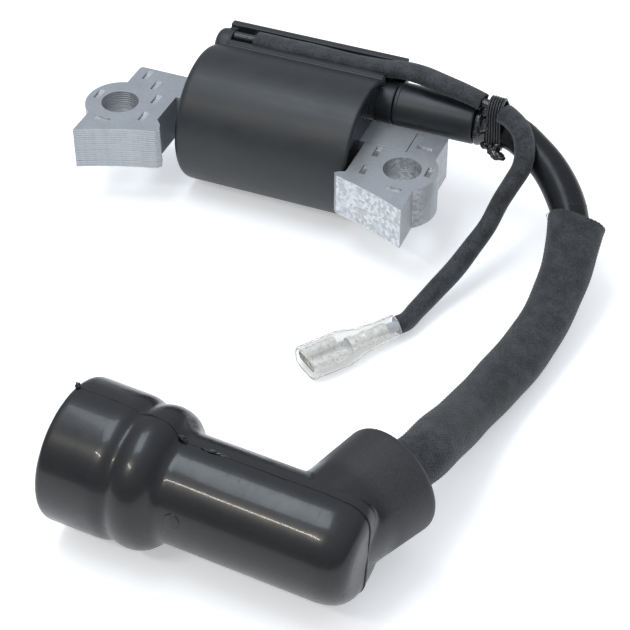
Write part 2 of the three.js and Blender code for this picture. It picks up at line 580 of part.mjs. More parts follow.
// Outline around the lead and the kill lead side by side, grown by offset.
function tieOutline(offset) {
  const lead = new THREE.Vector2(leadY, towerZ);
  const wire = new THREE.Vector2(killRoute[tieStation][1], killRoute[tieStation][2]);
  const leadR = LEAD_RADIUS + offset;
  const wireR = KILL_SLEEVE_RADIUS + offset;
  const axis = Math.atan2(wire.y - lead.y, wire.x - lead.x);
  const spread = Math.acos((leadR - wireR) / lead.distanceTo(wire));
  const points = [];
  const arc = (centre, radius, from, to, steps) => {
    for (let i = 0; i <= steps; i += 1) {
      const angle = from + ((to - from) * i) / steps;
      const arm = new THREE.Vector2(radius * Math.cos(angle), radius * Math.sin(angle));
      points.push(arm.add(centre));
    }
  };
  arc(lead, leadR, axis + spread, axis + 2 * Math.PI - spread, 16);
  arc(wire, wireR, axis - spread, axis + spread, 8);
  return points;
}
const tieX = 43.3;
const tieShape = new THREE.Shape(tieOutline(TIE_CLEARANCE + TIE_THICKNESS));
tieShape.holes.push(new THREE.Path(tieOutline(TIE_CLEARANCE)));
place('lead_tie', bar(tieShape, tieX - TIE_WIDTH / 2, tieX + TIE_WIDTH / 2), glue);
const tieTail = new THREE.SphereGeometry(1.3, 10, 8);
tieTail.scale(1.5, 0.8, 0.9);
tieTail.translate(tieX + 0.4, leadY - LEAD_RADIUS - 2.6, towerZ - 2.2);
place('tie_tail', tieTail, glue);

// ---------------------------------------------------------------- spade receptacle and cover
// Built along -X from the wire end, then turned to the wire's direction.
const terminal = new THREE.Group();
terminal.position.copy(TERMINAL_REAR);
terminal.rotation.z = terminalYaw;
bench.add(terminal);

function receptacle() {
  const halfTab = TAB_WIDTH / 2 + 0.15;
  const sheet = RECEPTACLE_SHEET;
  const mouthX = receptacleMouthX;
  const backX = receptacleBackX;
  const rollTop = TAB_SLOT / 2 + 0.6;
  const curl = new THREE.Shape([
    [-halfTab - sheet, -TAB_SLOT / 2 - sheet], [halfTab + sheet, -TAB_SLOT / 2 - sheet],
    [halfTab + sheet, rollTop], [0.4, rollTop], [0.4, TAB_SLOT / 2], [1.2, TAB_SLOT / 2],
    [1.2, rollTop - sheet], [halfTab, rollTop - sheet], [halfTab, -TAB_SLOT / 2],
    [-halfTab, -TAB_SLOT / 2], [-halfTab, rollTop - sheet], [-1.2, rollTop - sheet],
    [-1.2, TAB_SLOT / 2], [-0.4, TAB_SLOT / 2], [-0.4, rollTop], [-halfTab - sheet, rollTop],
  ].map(([y, z]) => new THREE.Vector2(y, z)));
  const neck = box(backX - 0.8, backX + 2.2, -1.1, 1.1, -TAB_SLOT / 2 - sheet, TAB_SLOT / 2);
  const crimp = ringX(crimpX, -2.2, KILL_WIRE_RADIUS + 0.12, KILL_WIRE_RADIUS + 0.5, 16);
  return carve(bar(curl, mouthX, backX), [neck, crimp], []);
}
place('spade_receptacle', receptacle(), tin, terminal);

const halfWide = COVER_WIDTH / 2;
const halfHigh = COVER_HEIGHT / 2;
const barrelOut = COVER_BORE / 2 + COVER_WALL;
const thin = (sections) => sections.map(([x, y, z]) => [x, y - COVER_WALL, z - COVER_WALL]);
const coverOuter = [
  [-COVER_LENGTH, halfWide, halfHigh], [-COVER_LENGTH + 8, halfWide, halfHigh],
  [-COVER_LENGTH + 10.5, halfWide - 0.35, halfHigh + 0.1], [-6.2, barrelOut + 0.35, barrelOut + 0.15],
  [-4.5, barrelOut, barrelOut], [0, barrelOut, barrelOut],
];
place('terminal_cover', hollowLoft(coverOuter, thin(coverOuter)), clear, terminal);

// ---------------------------------------------------------------- spark plug boot
// Built with the elbow's centre at the origin and the plug leg along +X.
const boot = new THREE.Group();
boot.position.copy(BOOT_CORNER);
boot.rotation.z = BOOT_YAW * degrees;
bench.add(boot);

function turnedToLead(geometry) {
  geometry.rotateZ(-BOOT_ELBOW * degrees);
  return geometry;
}

function bootShell() {
  const r = BOOT_BODY_RADIUS;
  const cupX = BOOT_LENGTH - BOOT_CUP_LENGTH;
  const collarX = cupX - BOOT_COLLAR_LENGTH;
  const dome = [[-r, 0]];
  for (let i = 0; i <= 5; i += 1) {
    const angle = (Math.PI / 2) * (i / 5);
    dome.push([-r + BOOT_END_FILLET * (1 - Math.cos(angle)), r - BOOT_END_FILLET * (1 - Math.sin(angle))]);
  }
  const body = spinX([
    ...dome, [collarX - 2.4, r], [collarX - 1.6, r + 0.7], [collarX - 0.5, BOOT_COLLAR_RADIUS - 0.6],
    [collarX + 0.8, BOOT_COLLAR_RADIUS], [cupX - 0.4, BOOT_COLLAR_RADIUS], [cupX, BOOT_COLLAR_RADIUS - 0.5],
    [cupX + 0.4, BOOT_CUP_RADIUS - 0.2], [BOOT_LENGTH - 1, BOOT_CUP_RADIUS],
    [BOOT_LENGTH, BOOT_CUP_RADIUS - 0.8], [BOOT_LENGTH, 0],
  ], 40);
  const leg = turnedToLead(spinX([
    [0, 0], [0, LEAD_LEG_RADIUS - LEAD_LEG_TAPER], [LEAD_LEG_LENGTH - 1.2, LEAD_LEG_RADIUS],
    [LEAD_LEG_LENGTH, LEAD_LEG_RADIUS - 1], [LEAD_LEG_LENGTH, 0],
  ], 36));
  const plugBore = spinX([
    [4, 0], [4, BOOT_BODY_BORE / 2], [cupX - 4, BOOT_BODY_BORE / 2], [cupX, BOOT_MOUTH_BORE / 2],
    [BOOT_LENGTH + 1, BOOT_MOUTH_BORE / 2], [BOOT_LENGTH + 1, 0],
  ], 36);
  const pocket = rodX(-4, 5, BOOT_POCKET_BORE / 2, 28);
  const leadBore = turnedToLead(rodX(3.5, LEAD_LEG_LENGTH + 1, LEAD_RADIUS + LEAD_FIT, 28));
  const bellX = LEAD_LEG_LENGTH - BELL_DEPTH;
  const bell = turnedToLead(rodX(bellX, LEAD_LEG_LENGTH + 1, LEAD_LEG_BELL / 2, 28));
  return carve(body, [leg], [plugBore, pocket, leadBore, bell]);
}
place('boot_shell', bootShell(), bootRubber, boot);
const clipX0 = -4 + FACE_GAP;
place('plug_clip', spinX([
  [clipX0, 0], [clipX0, CLIP_RADIUS], [9, CLIP_RADIUS], [10.5, CLIP_RADIUS + 0.6], [10.5, CLIP_RADIUS],
  [9, CLIP_RADIUS - CLIP_WALL], [clipX0 + 1, CLIP_RADIUS - CLIP_WALL], [clipX0 + 1, 0],
], 20), steel, boot);
const spikeHead = 1.6;            // radius of the disc that keeps the spike in the boot
const elbow = BOOT_ELBOW * degrees;
const spikeX = (CLIP_RADIUS + 0.15 - spikeHead * Math.cos(elbow)) / Math.sin(elbow);
place('lead_spike', turnedToLead(spinX([
  [spikeX, 0], [spikeX, spikeHead], [spikeX + 0.55, spikeHead], [spikeX + 0.55, 0.8],
  [spikeTip - 1.6, 0.8], [spikeTip, 0],
], 16)), brass, boot);

// ---------------------------------------------------------------- origin
// Under the middle of the coil unit, on the surface that it lies on.
const leftReach = -(holeX + BOSS_RADIUS);
const rightReach = Math.max(holeX + BOSS_RADIUS, towerEndX);
const frontReach = flywheelY
  + Math.sqrt(FLYWHEEL_RADIUS ** 2 - (holeX + FOOT_OUT) ** 2);
const backReach = coilY + rearWallBack;
bench.position.set(-(leftReach + rightReach) / 2, -(frontReach + backReach) / 2, 0);

export default coil;
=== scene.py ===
"""Looks of the small-engine ignition coil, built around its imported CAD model.

Pieces are modelled in millimetres in the bench frame that the CAD source uses, with x = 0 midway between
the two bolt holes and y = 0 on the line through them, and are then moved to the row frame in metres.
"""

import math
import random

import bmesh
import bpy
from mathutils import Matrix, Vector, noise


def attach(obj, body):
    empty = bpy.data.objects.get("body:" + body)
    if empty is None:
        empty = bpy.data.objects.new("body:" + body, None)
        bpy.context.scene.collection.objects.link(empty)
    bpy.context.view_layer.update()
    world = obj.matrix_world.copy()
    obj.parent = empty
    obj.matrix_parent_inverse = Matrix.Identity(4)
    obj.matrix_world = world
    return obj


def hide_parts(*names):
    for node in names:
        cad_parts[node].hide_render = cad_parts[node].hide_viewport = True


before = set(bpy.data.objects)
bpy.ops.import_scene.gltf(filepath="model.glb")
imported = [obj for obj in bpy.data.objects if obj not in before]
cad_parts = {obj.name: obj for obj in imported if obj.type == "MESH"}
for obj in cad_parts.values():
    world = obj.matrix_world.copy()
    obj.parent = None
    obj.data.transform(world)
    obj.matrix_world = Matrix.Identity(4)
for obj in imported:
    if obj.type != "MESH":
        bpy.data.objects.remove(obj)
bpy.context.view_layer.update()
bpy.context.scene.view_settings.view_transform = "Standard"

# ---------------------------------------------------------------- places shared with the CAD model
ORIGIN = Vector((1.0, 5.901248, 0.0))  # the row's origin in the bench frame, mm
TO_ROW = Matrix.Scale(0.001, 4) @ Matrix.Translation(-ORIGIN)

COIL_Y, COIL_Z = 9.3, 13.8
CORE_TOP, CORE_BOTTOM = 18.3, 9.3
SHEETS = 18
CASE_X0, CASE_X1, CASE_R, CASE_WALL = -16.5, 19.65, 13.8, 1.2
GROOVE_FRONT, GROOVE_BACK, GROOVE_FLOOR = 18.2, 22.4, 23.6
LIP_WIDTH = 1.2
LIP_TOP, WALL_TOP, WALL_BACK = 26.0, 26.9, 24.0
STUB_START, STUB_END, STUB_R = 17.75, 22.4, 4.2
YOKE_SLOT_HALF, YOKE_SLOT_GAP = 4.0, 0.3  # along Y, and above and below the core
TOWER_Y, TOWER_Z = 18.0, 19.8
TOWER_X0, TOWER_X1, TOWER_R = 22.7, 39.0, 4.5
LEAD_R = 3.5
KILL_WIRE_R = 1.0
KILL_SLEEVE_R = 1.9

BOOT_CORNER = Vector((48.0, -87.9, 12.5))
BOOT_YAW = math.radians(175.4)
BOOT_ELBOW = math.radians(108)
BOOT_MATRIX = Matrix.Translation(BOOT_CORNER) @ Matrix.Rotation(BOOT_YAW, 4, "Z")
LEAD_LEG_MATRIX = BOOT_MATRIX @ Matrix.Rotation(-BOOT_ELBOW, 4, "Z")

TERMINAL_REAR = Vector((38.7, -26.15, 2.7))
TERMINAL_YAW = math.radians(54)
TERMINAL_MATRIX = Matrix.Translation(TERMINAL_REAR) @ Matrix.Rotation(TERMINAL_YAW, 4, "Z")

LEAD_DIRECTION = Vector((math.cos(BOOT_YAW - BOOT_ELBOW), math.sin(BOOT_YAW - BOOT_ELBOW), 0))
WIRE_DIRECTION = Vector((math.cos(TERMINAL_YAW), math.sin(TERMINAL_YAW), 0))


def on_lead_leg(distance):
    """A point on the boot's lead leg, that far from the elbow's centre."""
    return tuple(BOOT_CORNER + LEAD_DIRECTION * distance)


def behind_terminal(distance):
    """A point on the kill wire's straight end, that far behind the terminal cover."""
    return tuple(TERMINAL_REAR + WIRE_DIRECTION * distance)


LEAD_ROUTE = [
    (23.3, 18, 19.8), (30, 18, 19.8), (36, 18, 19.8), (42, 18, 19.8), (47, 17.1, 19.7),
    (51.6, 14.3, 19.0), (55.5, 11.6, 17.8), (59.1, 8.2, 16.0), (62.2, 4.0, 13.9), (64.0, -1.0, 11.7),
    (64.9, -6.5, 9.4), (65.0, -12.5, 7.4), (64.6, -18.5, 6.0), (63.8, -24.5, 5.2), (62.7, -30.5, 5.05),
    (61.5, -36.5, 5.3), (60.4, -42.5, 6.1), (59.5, -48.8, 7.5), (58.8, -54.8, 9.4), (58.2, -60.0, 11.2),
    on_lead_leg(24.5), on_lead_leg(19), on_lead_leg(13), on_lead_leg(8.9),
]
LEAD_SLEEVE_START = 8
WIRE_Y, WIRE_Z = 20.3, 25.6
KILL_ROUTE = [
    (-13.6, WIRE_Y, WIRE_Z), (-9.1, WIRE_Y, WIRE_Z), (0, WIRE_Y, WIRE_Z), (8, WIRE_Y, WIRE_Z),
    (15, WIRE_Y, WIRE_Z), (19, WIRE_Y, WIRE_Z + 0.25), (22.5, 20.2, 26.45), (26, 19.5, 26.75),
    (30, 18.5, 26.8), (35, 17.4, 26.6), (40.3, 16.3, 25.9), (43, 15.6, 25.5), (46.2, 14.2, 25.3),
    (49.3, 12.0, 24.6), (50.8, 10.2, 22.6), (51.2, 7.9, 19.6), (50.1, 6.0, 16.5), (48.6, 3.3, 13.0),
    (47.5, -0.7, 9.8), (45.9, -5.7, 7.3), (44.1, -11.3, 5.3), (42.4, -16.2, 3.9), (40.9, -20.9, 3.1),
    behind_terminal(2.4), behind_terminal(0.3), behind_terminal(-4), behind_terminal(-9.6),
]
UPPER_SLEEVE = (1, 10)
LOWER_SLEEVE = (12, 24)
TUCKED_END = (44.9, 14.8, 25.45)  # the lower sleeve's end, pushed up to the tie
TIE_STATION = 11  # the kill route's point inside the tie


# ---------------------------------------------------------------- camera
def aim(eye, target):
    """The placement of a camera or lamp that stands at eye and looks at target."""
    turn = (Vector(target) - Vector(eye)).to_track_quat("-Z", "Y").to_matrix().to_4x4()
    return Matrix.Translation(eye) @ turn


def add_camera():
    """Looks down at the coil from the front right with a long lens."""
    data = bpy.data.cameras.new("camera")
    data.lens = 102.9
    data.sensor_width = 36
    data.clip_start = 0.01
    camera = bpy.data.objects.new("camera", data)
    bpy.context.scene.collection.objects.link(camera)
    eye = TO_ROW @ Vector((120.09, -261.66, 222.3))
    target = TO_ROW @ Vector((30.71, -45.34, 18.3))
    camera.matrix_world = aim(eye, target) @ Matrix.Rotation(math.radians(-0.17), 4, "Z")
    bpy.context.scene.camera = camera


add_camera()


# ---------------------------------------------------------------- mesh helpers
def link_object(name, mesh):
    obj = bpy.data.objects.new(name, mesh)
    bpy.context.scene.collection.objects.link(obj)
    return obj


def mesh_from(bm, name):
    mesh = bpy.data.meshes.new(name)
    bm.to_mesh(mesh)
    bm.free()
    return mesh


def shell_from(bm, name):
    """The mesh of a closed surface, with its faces turned outwards."""
    bmesh.ops.recalc_face_normals(bm, faces=bm.faces)
    return mesh_from(bm, name)


def turns(count):
    """Even angles once round a circle."""
    return [2 * math.pi * k / count for k in range(count)]


def join_rings(bm, rings):
    """Adds the wall between each ring of points and the next one."""
    for a, b in zip(rings, rings[1:]):
        for k in range(len(a)):
            j = (k + 1) % len(a)
            bm.faces.new((a[k], a[j], b[j], b[k]))


def fillet(profile, steps=5):
    """Rounds the corners of a profile of (x, radius) or (x, radius, fillet) points."""
    out = []
    last = len(profile) - 1
    for i, point in enumerate(profile):
        here = Vector(point[:2])
        size = point[2] if len(point) > 2 else 0
        if size == 0 or i in (0, last):
            out.append(here)
            continue
        back = Vector(profile[i - 1][:2]) - here
        ahead = Vector(profile[i + 1][:2]) - here
        start = here + back.normalized() * min(size, 0.48 * back.length)
        end = here + ahead.normalized() * min(size, 0.48 * ahead.length)
        for k in range(steps + 1):
            t = k / steps
            out.append(start * (1 - t) ** 2 + here * 2 * t * (1 - t) + end * t**2)
    return out


def lathe(profile, matrix=Matrix.Identity(4), steps=128, closed=False):
    """A solid of revolution about the X axis, from (x, radius) points."""
    bm = bmesh.new()
    rings = []
    for x, radius in profile:
        if radius < 1e-5:
            rings.append([bm.verts.new((x, 0, 0))])
            continue
        rings.append([bm.verts.new((x, radius * math.cos(a), radius * math.sin(a))) for a in turns(steps)])
    pairs = list(zip(rings, rings[1:]))
    if closed:
        pairs.append((rings[-1], rings[0]))
    for a, b in pairs:
        for k in range(steps):
            j = (k + 1) % steps
            corners = [a[k % len(a)], a[j % len(a)], b[j % len(b)], b[k % len(b)]]
            unique = list(dict.fromkeys(corners))
            if len(unique) > 2:
                bm.faces.new(unique)
    bmesh.ops.recalc_face_normals(bm, faces=bm.faces)
    bmesh.ops.transform(bm, matrix=matrix, verts=bm.verts)
    return mesh_from(bm, "lathe")


def prism(outline, x0, x1):
    """Extrudes an outline of (y, z) points along X."""
    bm = bmesh.new()
    ends = [[bm.verts.new((x, y, z)) for y, z in outline] for x in (x0, x1)]
    bm.faces.new(ends[0])
    bm.faces.new(ends[1])
    join_rings(bm, ends)
    return shell_from(bm, "prism")


def block(low, high):
    """A box between two corners."""
    (x0, y0, z0), (x1, y1, z1) = low, high
    return prism([(y0, z0), (y1, z0), (y1, z1), (y0, z1)], x0, x1)


def apply_modifiers(obj):
    graph = bpy.context.evaluated_depsgraph_get()
    mesh = bpy.data.meshes.new_from_object(obj.evaluated_get(graph))
    obj.modifiers.clear()
    obj.data = mesh


def combine(obj, meshes, operation):
    """Joins meshes to obj, or cuts them out of it."""
    tools = [link_object("tool", mesh) for mesh in meshes]
    for tool in tools:
        modifier = obj.modifiers.new("combine", "BOOLEAN")
        modifier.operation = operation
        modifier.solver = "EXACT"
        modifier.object = tool
    bpy.context.view_layer.update()
    apply_modifiers(obj)
    for tool in tools:
        bpy.data.objects.remove(tool)


def soften(obj, voxel, rounds):
    """Rebuilds obj on a fine even grid and relaxes it, which rounds its edges as moulding does."""
    remesh = obj.modifiers.new("remesh", "REMESH")
    remesh.mode = "VOXEL"
    remesh.voxel_size = voxel
    smooth = obj.modifiers.new("smooth", "SMOOTH")
    smooth.factor = 0.5
    smooth.iterations = rounds
    apply_modifiers(obj)


def finish_piece(obj, body, material, nodes=(), sharp=40):
    """Moves a finished piece to the row frame, gives it its body and material, and hides the CAD nodes it
    stands in for.
    """
    obj.data.transform(TO_ROW)
    obj.data.materials.clear()
    obj.data.materials.append(material)
    for polygon in obj.data.polygons:
        polygon.use_smooth = True
    obj.data.set_sharp_from_angle(angle=math.radians(sharp))
    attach(obj, body)
    if nodes:
        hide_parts(*nodes)
    return obj


def smooth_route(points, spacing):
    """An even run of points on the centripetal curve through a route's points."""
    points = [Vector(p) for p in points]
    ends = [2 * points[0] - points[1], *points, 2 * points[-1] - points[-2]]
    dense = []
    for p0, p1, p2, p3 in zip(ends, ends[1:], ends[2:], ends[3:]):
        d0, d1, d2 = ((b - a).length ** 0.5 for a, b in ((p0, p1), (p1, p2), (p2, p3)))
        m1 = ((p1 - p0) / d0 - (p2 - p0) / (d0 + d1) + (p2 - p1) / d1) * d1
        m2 = ((p2 - p1) / d1 - (p3 - p1) / (d1 + d2) + (p3 - p2) / d2) * d1
        for k in range(24):
            t = k / 24
            a = 2 * t**3 - 3 * t**2 + 1
            b = t**3 - 2 * t**2 + t
            c = -2 * t**3 + 3 * t**2
            d = t**3 - t**2
            dense.append(a * p1 + b * m1 + c * p2 + d * m2)
    dense.append(points[-1])
    lengths = [0.0]
    for a, b in zip(dense, dense[1:]):
        lengths.append(lengths[-1] + (b - a).length)
    count = max(2, round(lengths[-1] / spacing))
    out = []
    i = 0
    for k in range(count + 1):
        want = lengths[-1] * k / count
        while i < len(dense) - 2 and lengths[i + 1] < want:
            i += 1
        span = max(lengths[i + 1] - lengths[i], 1e-9)
        out.append(dense[i].lerp(dense[i + 1], min(1.0, (want - lengths[i]) / span)))
    return out


def path_frames(path):
    """(point, tangent, up, side, distance) along a path, turning as little as it can."""
    frames = []
    up = Vector((0, 0, 1))
    distance = 0.0
    for i, point in enumerate(path):
        ahead = path[min(i + 1, len(path) - 1)]
        back = path[max(i - 1, 0)]
        tangent = (ahead - back).normalized()
        up = (up - tangent * up.dot(tangent)).normalized()
        if i:
            distance += (point - path[i - 1]).length
        frames.append((point, tangent, up, up.cross(tangent), distance))
    return frames


def sweep(path, sides, outer, inner=None, shift=None, inner_step=6):
    """A tube along a path, with UVs in turns and millimetres. outer and inner give a radius from (distance,
    angle), and shift moves a point along the path near an end. The inner wall has fewer rings."""
    bm = bmesh.new()
    uv = bm.loops.layers.uv.new("UVMap")
    frames = path_frames(path)
    total = frames[-1][4]

    def ring(frame_at, radius):
        point, tangent, up, side, distance = frame_at
        verts = []
        for angle in turns(sides):
            out = (up * math.cos(angle) + side * math.sin(angle)) * radius(distance, angle)
            along = shift(distance, angle, total) if shift else 0.0
            verts.append(bm.verts.new(point + out + tangent * along))
        return verts

    rings = [(ring(f, outer), f[4]) for f in frames]
    if inner:
        back = frames[::-1]
        rings += [(ring(f, inner), f[4]) for f in [*back[:-1:inner_step], back[-1]]]
        rings.append(rings[0])
    for (a, va), (b, vb) in zip(rings, rings[1:]):
        for k in range(sides):
            j = (k + 1) % sides
            face = bm.faces.new((a[k], a[j], b[j], b[k]))
            marks = ((k, va), (k + 1, va), (k + 1, vb), (k, vb))
            for loop, (turn, along) in zip(face.loops, marks):
                loop[uv].uv = (turn / sides, along)
    if not inner:
        bm.faces.new(rings[0][0])
        bm.faces.new(rings[-1][0])
    return shell_from(bm, "sweep")


# ---------------------------------------------------------------- material helpers
class Recipe:
    """A node material under construction."""

    def __init__(self, name, **settings):
        self.material = bpy.data.materials.new(name)
        self.material.use_nodes = True
        self.tree = self.material.node_tree
        self.shader = self.tree.nodes["Principled BSDF"]
        for key, value in settings.items():
            self.shader.inputs[key.replace("_", " ")].default_value = value
        self.place = self.tree.nodes.new("ShaderNodeTexCoord").outputs["Object"]

    def node(self, kind, inputs=None, **settings):
        made = self.tree.nodes.new(kind)
        for key, value in settings.items():
            setattr(made, key, value)
        for key, value in (inputs or {}).items():
            if isinstance(value, bpy.types.NodeSocket):
                self.tree.links.new(value, made.inputs[key])
            else:
                made.inputs[key].default_value = value
        return made

    def speckle(self, scale, detail=4, roughness=0.6, vector=None):
        inputs = {"Vector": vector or self.place, "Scale": scale, "Detail": detail, "Roughness": roughness}
        return self.node("ShaderNodeTexNoise", inputs).outputs["Fac"]

    def ramp(self, value, low, high, start=0.3, end=0.7):
        """Maps value between two colours, or two greys."""
        made = self.node("ShaderNodeValToRGB", {"Fac": value})
        for element, place, colour in zip(made.color_ramp.elements, (start, end), (low, high)):
            element.position = place
            element.color = (colour, colour, colour, 1) if isinstance(colour, float) else (*colour, 1)
        return made.outputs["Color"]

    def math(self, operation, *values):
        return self.node("ShaderNodeMath", dict(enumerate(values)), operation=operation).outputs["Value"]

    def vector_math(self, operation, first, second, result="Value"):
        return self.node("ShaderNodeVectorMath", {0: first, 1: second}, operation=operation).outputs[result]

    def blend(self, first, share, second):
        """That share of one value plus the rest of the other."""
        return self.math("ADD", self.math("MULTIPLY", first, share), self.math("MULTIPLY", second, 1 - share))

    def mix(self, factor, first, second, colours=False):
        """Goes from first to second as factor goes from 0 to 1. Both are values, or both are colours."""
        kind, low, high, out = ("RGBA", 6, 7, 2) if colours else ("FLOAT", 2, 3, 0)
        made = self.node("ShaderNodeMix", {0: factor, low: first, high: second}, data_type=kind)
        return made.outputs[out]

    def rescale(self, value, start, end):
        """0 where value is at start, 1 where it is at end."""
        inputs = {"Value": value, "From Min": start, "From Max": end}
        return self.node("ShaderNodeMapRange", inputs).outputs["Result"]

    def stretched(self, scale, rotation=(0, 0, 0)):
        """The object's coordinates, scaled along each axis and then turned."""
        inputs = {"Vector": self.place, "Scale": scale, "Rotation": rotation}
        return self.node("ShaderNodeMapping", inputs).outputs["Vector"]

    def set(self, key, value):
        self.tree.links.new(value, self.shader.inputs[key])

    def bump(self, *layers):
        """Adds (height, strength, distance in metres) layers of relief."""
        normal = None
        for height, strength, distance in layers:
            inputs = {"Height": height, "Strength": strength, "Distance": distance}
            if normal:
                inputs["Normal"] = normal
            normal = self.node("ShaderNodeBump", inputs).outputs["Normal"]
        self.set("Normal", normal)


def steel_material(name, speckled):
    """Punched silicon steel: smooth zinc grey on the sheets, with fine streaks down the cut edges. On the
    speckled stack, faces turned to the front get a lighter spangled colour: the spangle is the face's own
    pattern, the lightness a painted highlight."""
    r = Recipe(name, Metallic=0.7)
    cloud = r.speckle(260, 4)
    grain = r.speckle(2600, 3)
    streak = r.speckle(1.0, 4, 0.6, r.stretched((1400, 1400, 60)))
    facing = r.node("ShaderNodeNewGeometry").outputs["Normal"]
    parts = r.node("ShaderNodeSeparateXYZ", {"Vector": facing}).outputs
    level = r.math("ABSOLUTE", parts["Z"])
    tone = r.mix(level, r.blend(streak, 0.6, grain), r.blend(cloud, 0.4, grain))
    colour = r.ramp(tone, (0.33, 0.354, 0.382), (0.43, 0.456, 0.483))
    if speckled:
        # Painted highlight: the pole face, turned to the front, is lightened, with the spangle as its own
        # pattern.
        spangle = r.node("ShaderNodeTexVoronoi", {"Vector": r.place, "Scale": 1500.0}).outputs["Color"]
        lit_spangle = r.ramp(spangle, (0.42, 0.445, 0.465), (0.66, 0.685, 0.71), 0.25, 0.8)
        colour = r.mix(r.rescale(parts["Y"], -0.35, -0.75), colour, lit_spangle, colours=True)
    r.set("Base Color", colour)
    r.set("Roughness", r.ramp(r.speckle(900, 4), 0.34, 0.48))
    r.bump((grain, 0.25 if speckled else 0.1, 0.00006), (streak, 0.12, 0.00004))
    return r.material


def moulded_material(name, colour, low, high, grain=2200.0, strength=0.2):
    """Black moulded plastic with a fine eroded grain, faint flow clouds and handling marks."""
    r = Recipe(name)
    cloud = r.speckle(160, 5)
    fine = r.speckle(grain, 3)
    lighter = tuple(c * 1.5 + 0.004 for c in colour)
    r.set("Base Color", r.ramp(cloud, colour, lighter))
    marks = r.speckle(1.0, 6, 0.7, r.stretched((90, 900, 900)))
    r.set("Roughness", r.ramp(r.blend(cloud, 0.6, marks), low, high))
    r.bump((fine, strength, 0.00005), (marks, 0.06, 0.00008))
    return r.material


def boot_material():
    """Moulded rubber: glossy with flow ripples and scuffs on the plug leg, and dull on the lead leg."""
    r = Recipe("boot_rubber", Coat_Roughness=0.09, Coat_IOR=1.5, Specular_IOR_Level=0.4)
    wave = r.speckle(190, 3)
    ripple = r.speckle(620, 2)
    dust = r.speckle(1900, 6, 0.75)
    scuff = r.speckle(1.0, 5, 0.75, r.stretched((2600, 240, 900), (0.3, 0.2, 0.7)))
    along = r.vector_math("SUBTRACT", r.place, tuple(TO_ROW @ BOOT_CORNER), "Vector")
    dull = r.rescale(r.vector_math("DOT_PRODUCT", along, tuple(LEAD_DIRECTION)), 0.0072, 0.0098)
    glossy_colour = r.ramp(dust, (0.0020, 0.0028, 0.0038), (0.008, 0.0095, 0.0115), 0.45, 0.9)
    dull_colour = r.ramp(dust, (0.018, 0.0185, 0.0195), (0.040, 0.041, 0.043), 0.35, 0.8)
    r.set("Base Color", r.mix(dull, glossy_colour, dull_colour, colours=True))
    shine = r.math("ADD", r.ramp(wave, 0.26, 0.36), r.ramp(scuff, 0.0, 0.2, 0.6, 0.72))
    matt = r.ramp(dust, 0.46, 0.6)
    r.set("Coat Weight", r.mix(dull, r.ramp(scuff, 0.26, 0.08, 0.55, 0.72), 0.02))
    r.set("Roughness", r.mix(dull, shine, matt))
    r.bump((wave, 0.12, 0.0003), (ripple, 0.08, 0.00004), (scuff, 0.16, 0.00003))
    return r.material


def lead_material(name, low, high):
    """Extruded black insulation: smooth, faintly streaked along its length, with dust."""
    r = Recipe(name, Specular_IOR_Level=0.26)
    dust = r.speckle(1500, 6, 0.75)
    cloud = r.speckle(220, 4)
    r.set("Base Color", r.ramp(dust, (0.0035, 0.0042, 0.0052), (0.013, 0.0145, 0.0165), 0.4, 0.85))
    r.set("Roughness", r.ramp(cloud, low, high))
    r.bump((cloud, 0.1, 0.0002), (dust, 0.1, 0.00002))
    return r.material


def wire_material():
    """Kill wire insulation: black along most of its length, blue-grey near the terminal cover."""
    r = Recipe("wire_insulation")
    cloud = r.speckle(900, 4)
    near = r.rescale(r.vector_math("DISTANCE", r.place, tuple(TO_ROW @ TERMINAL_REAR)), 0.016, 0.012)
    black = r.ramp(cloud, (0.009, 0.010, 0.012), (0.022, 0.024, 0.027))
    # Blue-grey colour, used within about 12 to 16 mm of the terminal cover; black elsewhere.
    patchy_tone = r.ramp(cloud, (0.23, 0.28, 0.34), (0.33, 0.38, 0.45))
    r.set("Base Color", r.mix(near, black, patchy_tone, colours=True))
    r.set("Roughness", r.ramp(cloud, 0.16, 0.3))
    r.bump((cloud, 0.1, 0.00004))
    return r.material


def weave_material(strands, pitch):
    """Black varnished glass sleeving. The strands are in the mesh; the yarn's filaments are here."""
    r = Recipe("weave_%d" % strands, Sheen_Weight=0.25, Sheen_Roughness=0.4)
    uv = r.node("ShaderNodeUVMap", uv_map="UVMap").outputs["UV"]
    split = r.node("ShaderNodeSeparateXYZ", {"Vector": uv})
    turn = r.math("MULTIPLY", split.outputs["X"], float(strands))
    run = r.math("MULTIPLY", split.outputs["Y"], 1 / pitch)
    left = r.math("SINE", r.math("MULTIPLY", r.math("ADD", turn, run), 6 * math.pi))
    right = r.math("SINE", r.math("MULTIPLY", r.math("SUBTRACT", turn, run), 6 * math.pi))
    filament = r.math("MULTIPLY", r.math("ADD", left, right), 0.25)
    fuzz = r.speckle(2400, 5, 0.7)
    patchy_tone = r.speckle(380, 4)
    tone = r.blend(fuzz, 0.65, patchy_tone)
    r.set("Base Color", r.ramp(tone, (0.0065, 0.0075, 0.0092), (0.085, 0.092, 0.102), 0.42, 0.74))
    r.set("Roughness", r.ramp(fuzz, 0.5, 0.78))
    r.bump((filament, 0.5, 0.0001), (fuzz, 0.6, 0.0001))
    return r.material


def glue_material():
    """Cured black adhesive, glossy and uneven."""
    r = Recipe("adhesive", Coat_Weight=0.6, Coat_Roughness=0.05)
    lump = r.speckle(500, 3)
    r.set("Base Color", r.ramp(lump, (0.006, 0.0065, 0.0075), (0.018, 0.019, 0.021)))
    r.set("Roughness", r.ramp(lump, 0.08, 0.3))
    r.bump((lump, 0.3, 0.0002))
    return r.material


def cover_material():
    """Clear vinyl, slightly milky, with flow marks."""
    r = Recipe("clear_vinyl", Transmission_Weight=0.8, IOR=1.25)
    flow = r.speckle(300, 3)
    r.set("Base Color", r.ramp(flow, (0.975, 0.968, 0.945), (0.995, 0.992, 0.982)))
    r.set("Roughness", r.ramp(flow, 0.03, 0.12))
    r.bump((flow, 0.22, 0.0002), (r.speckle(1600, 2), 0.05, 0.00003))
    return r.material


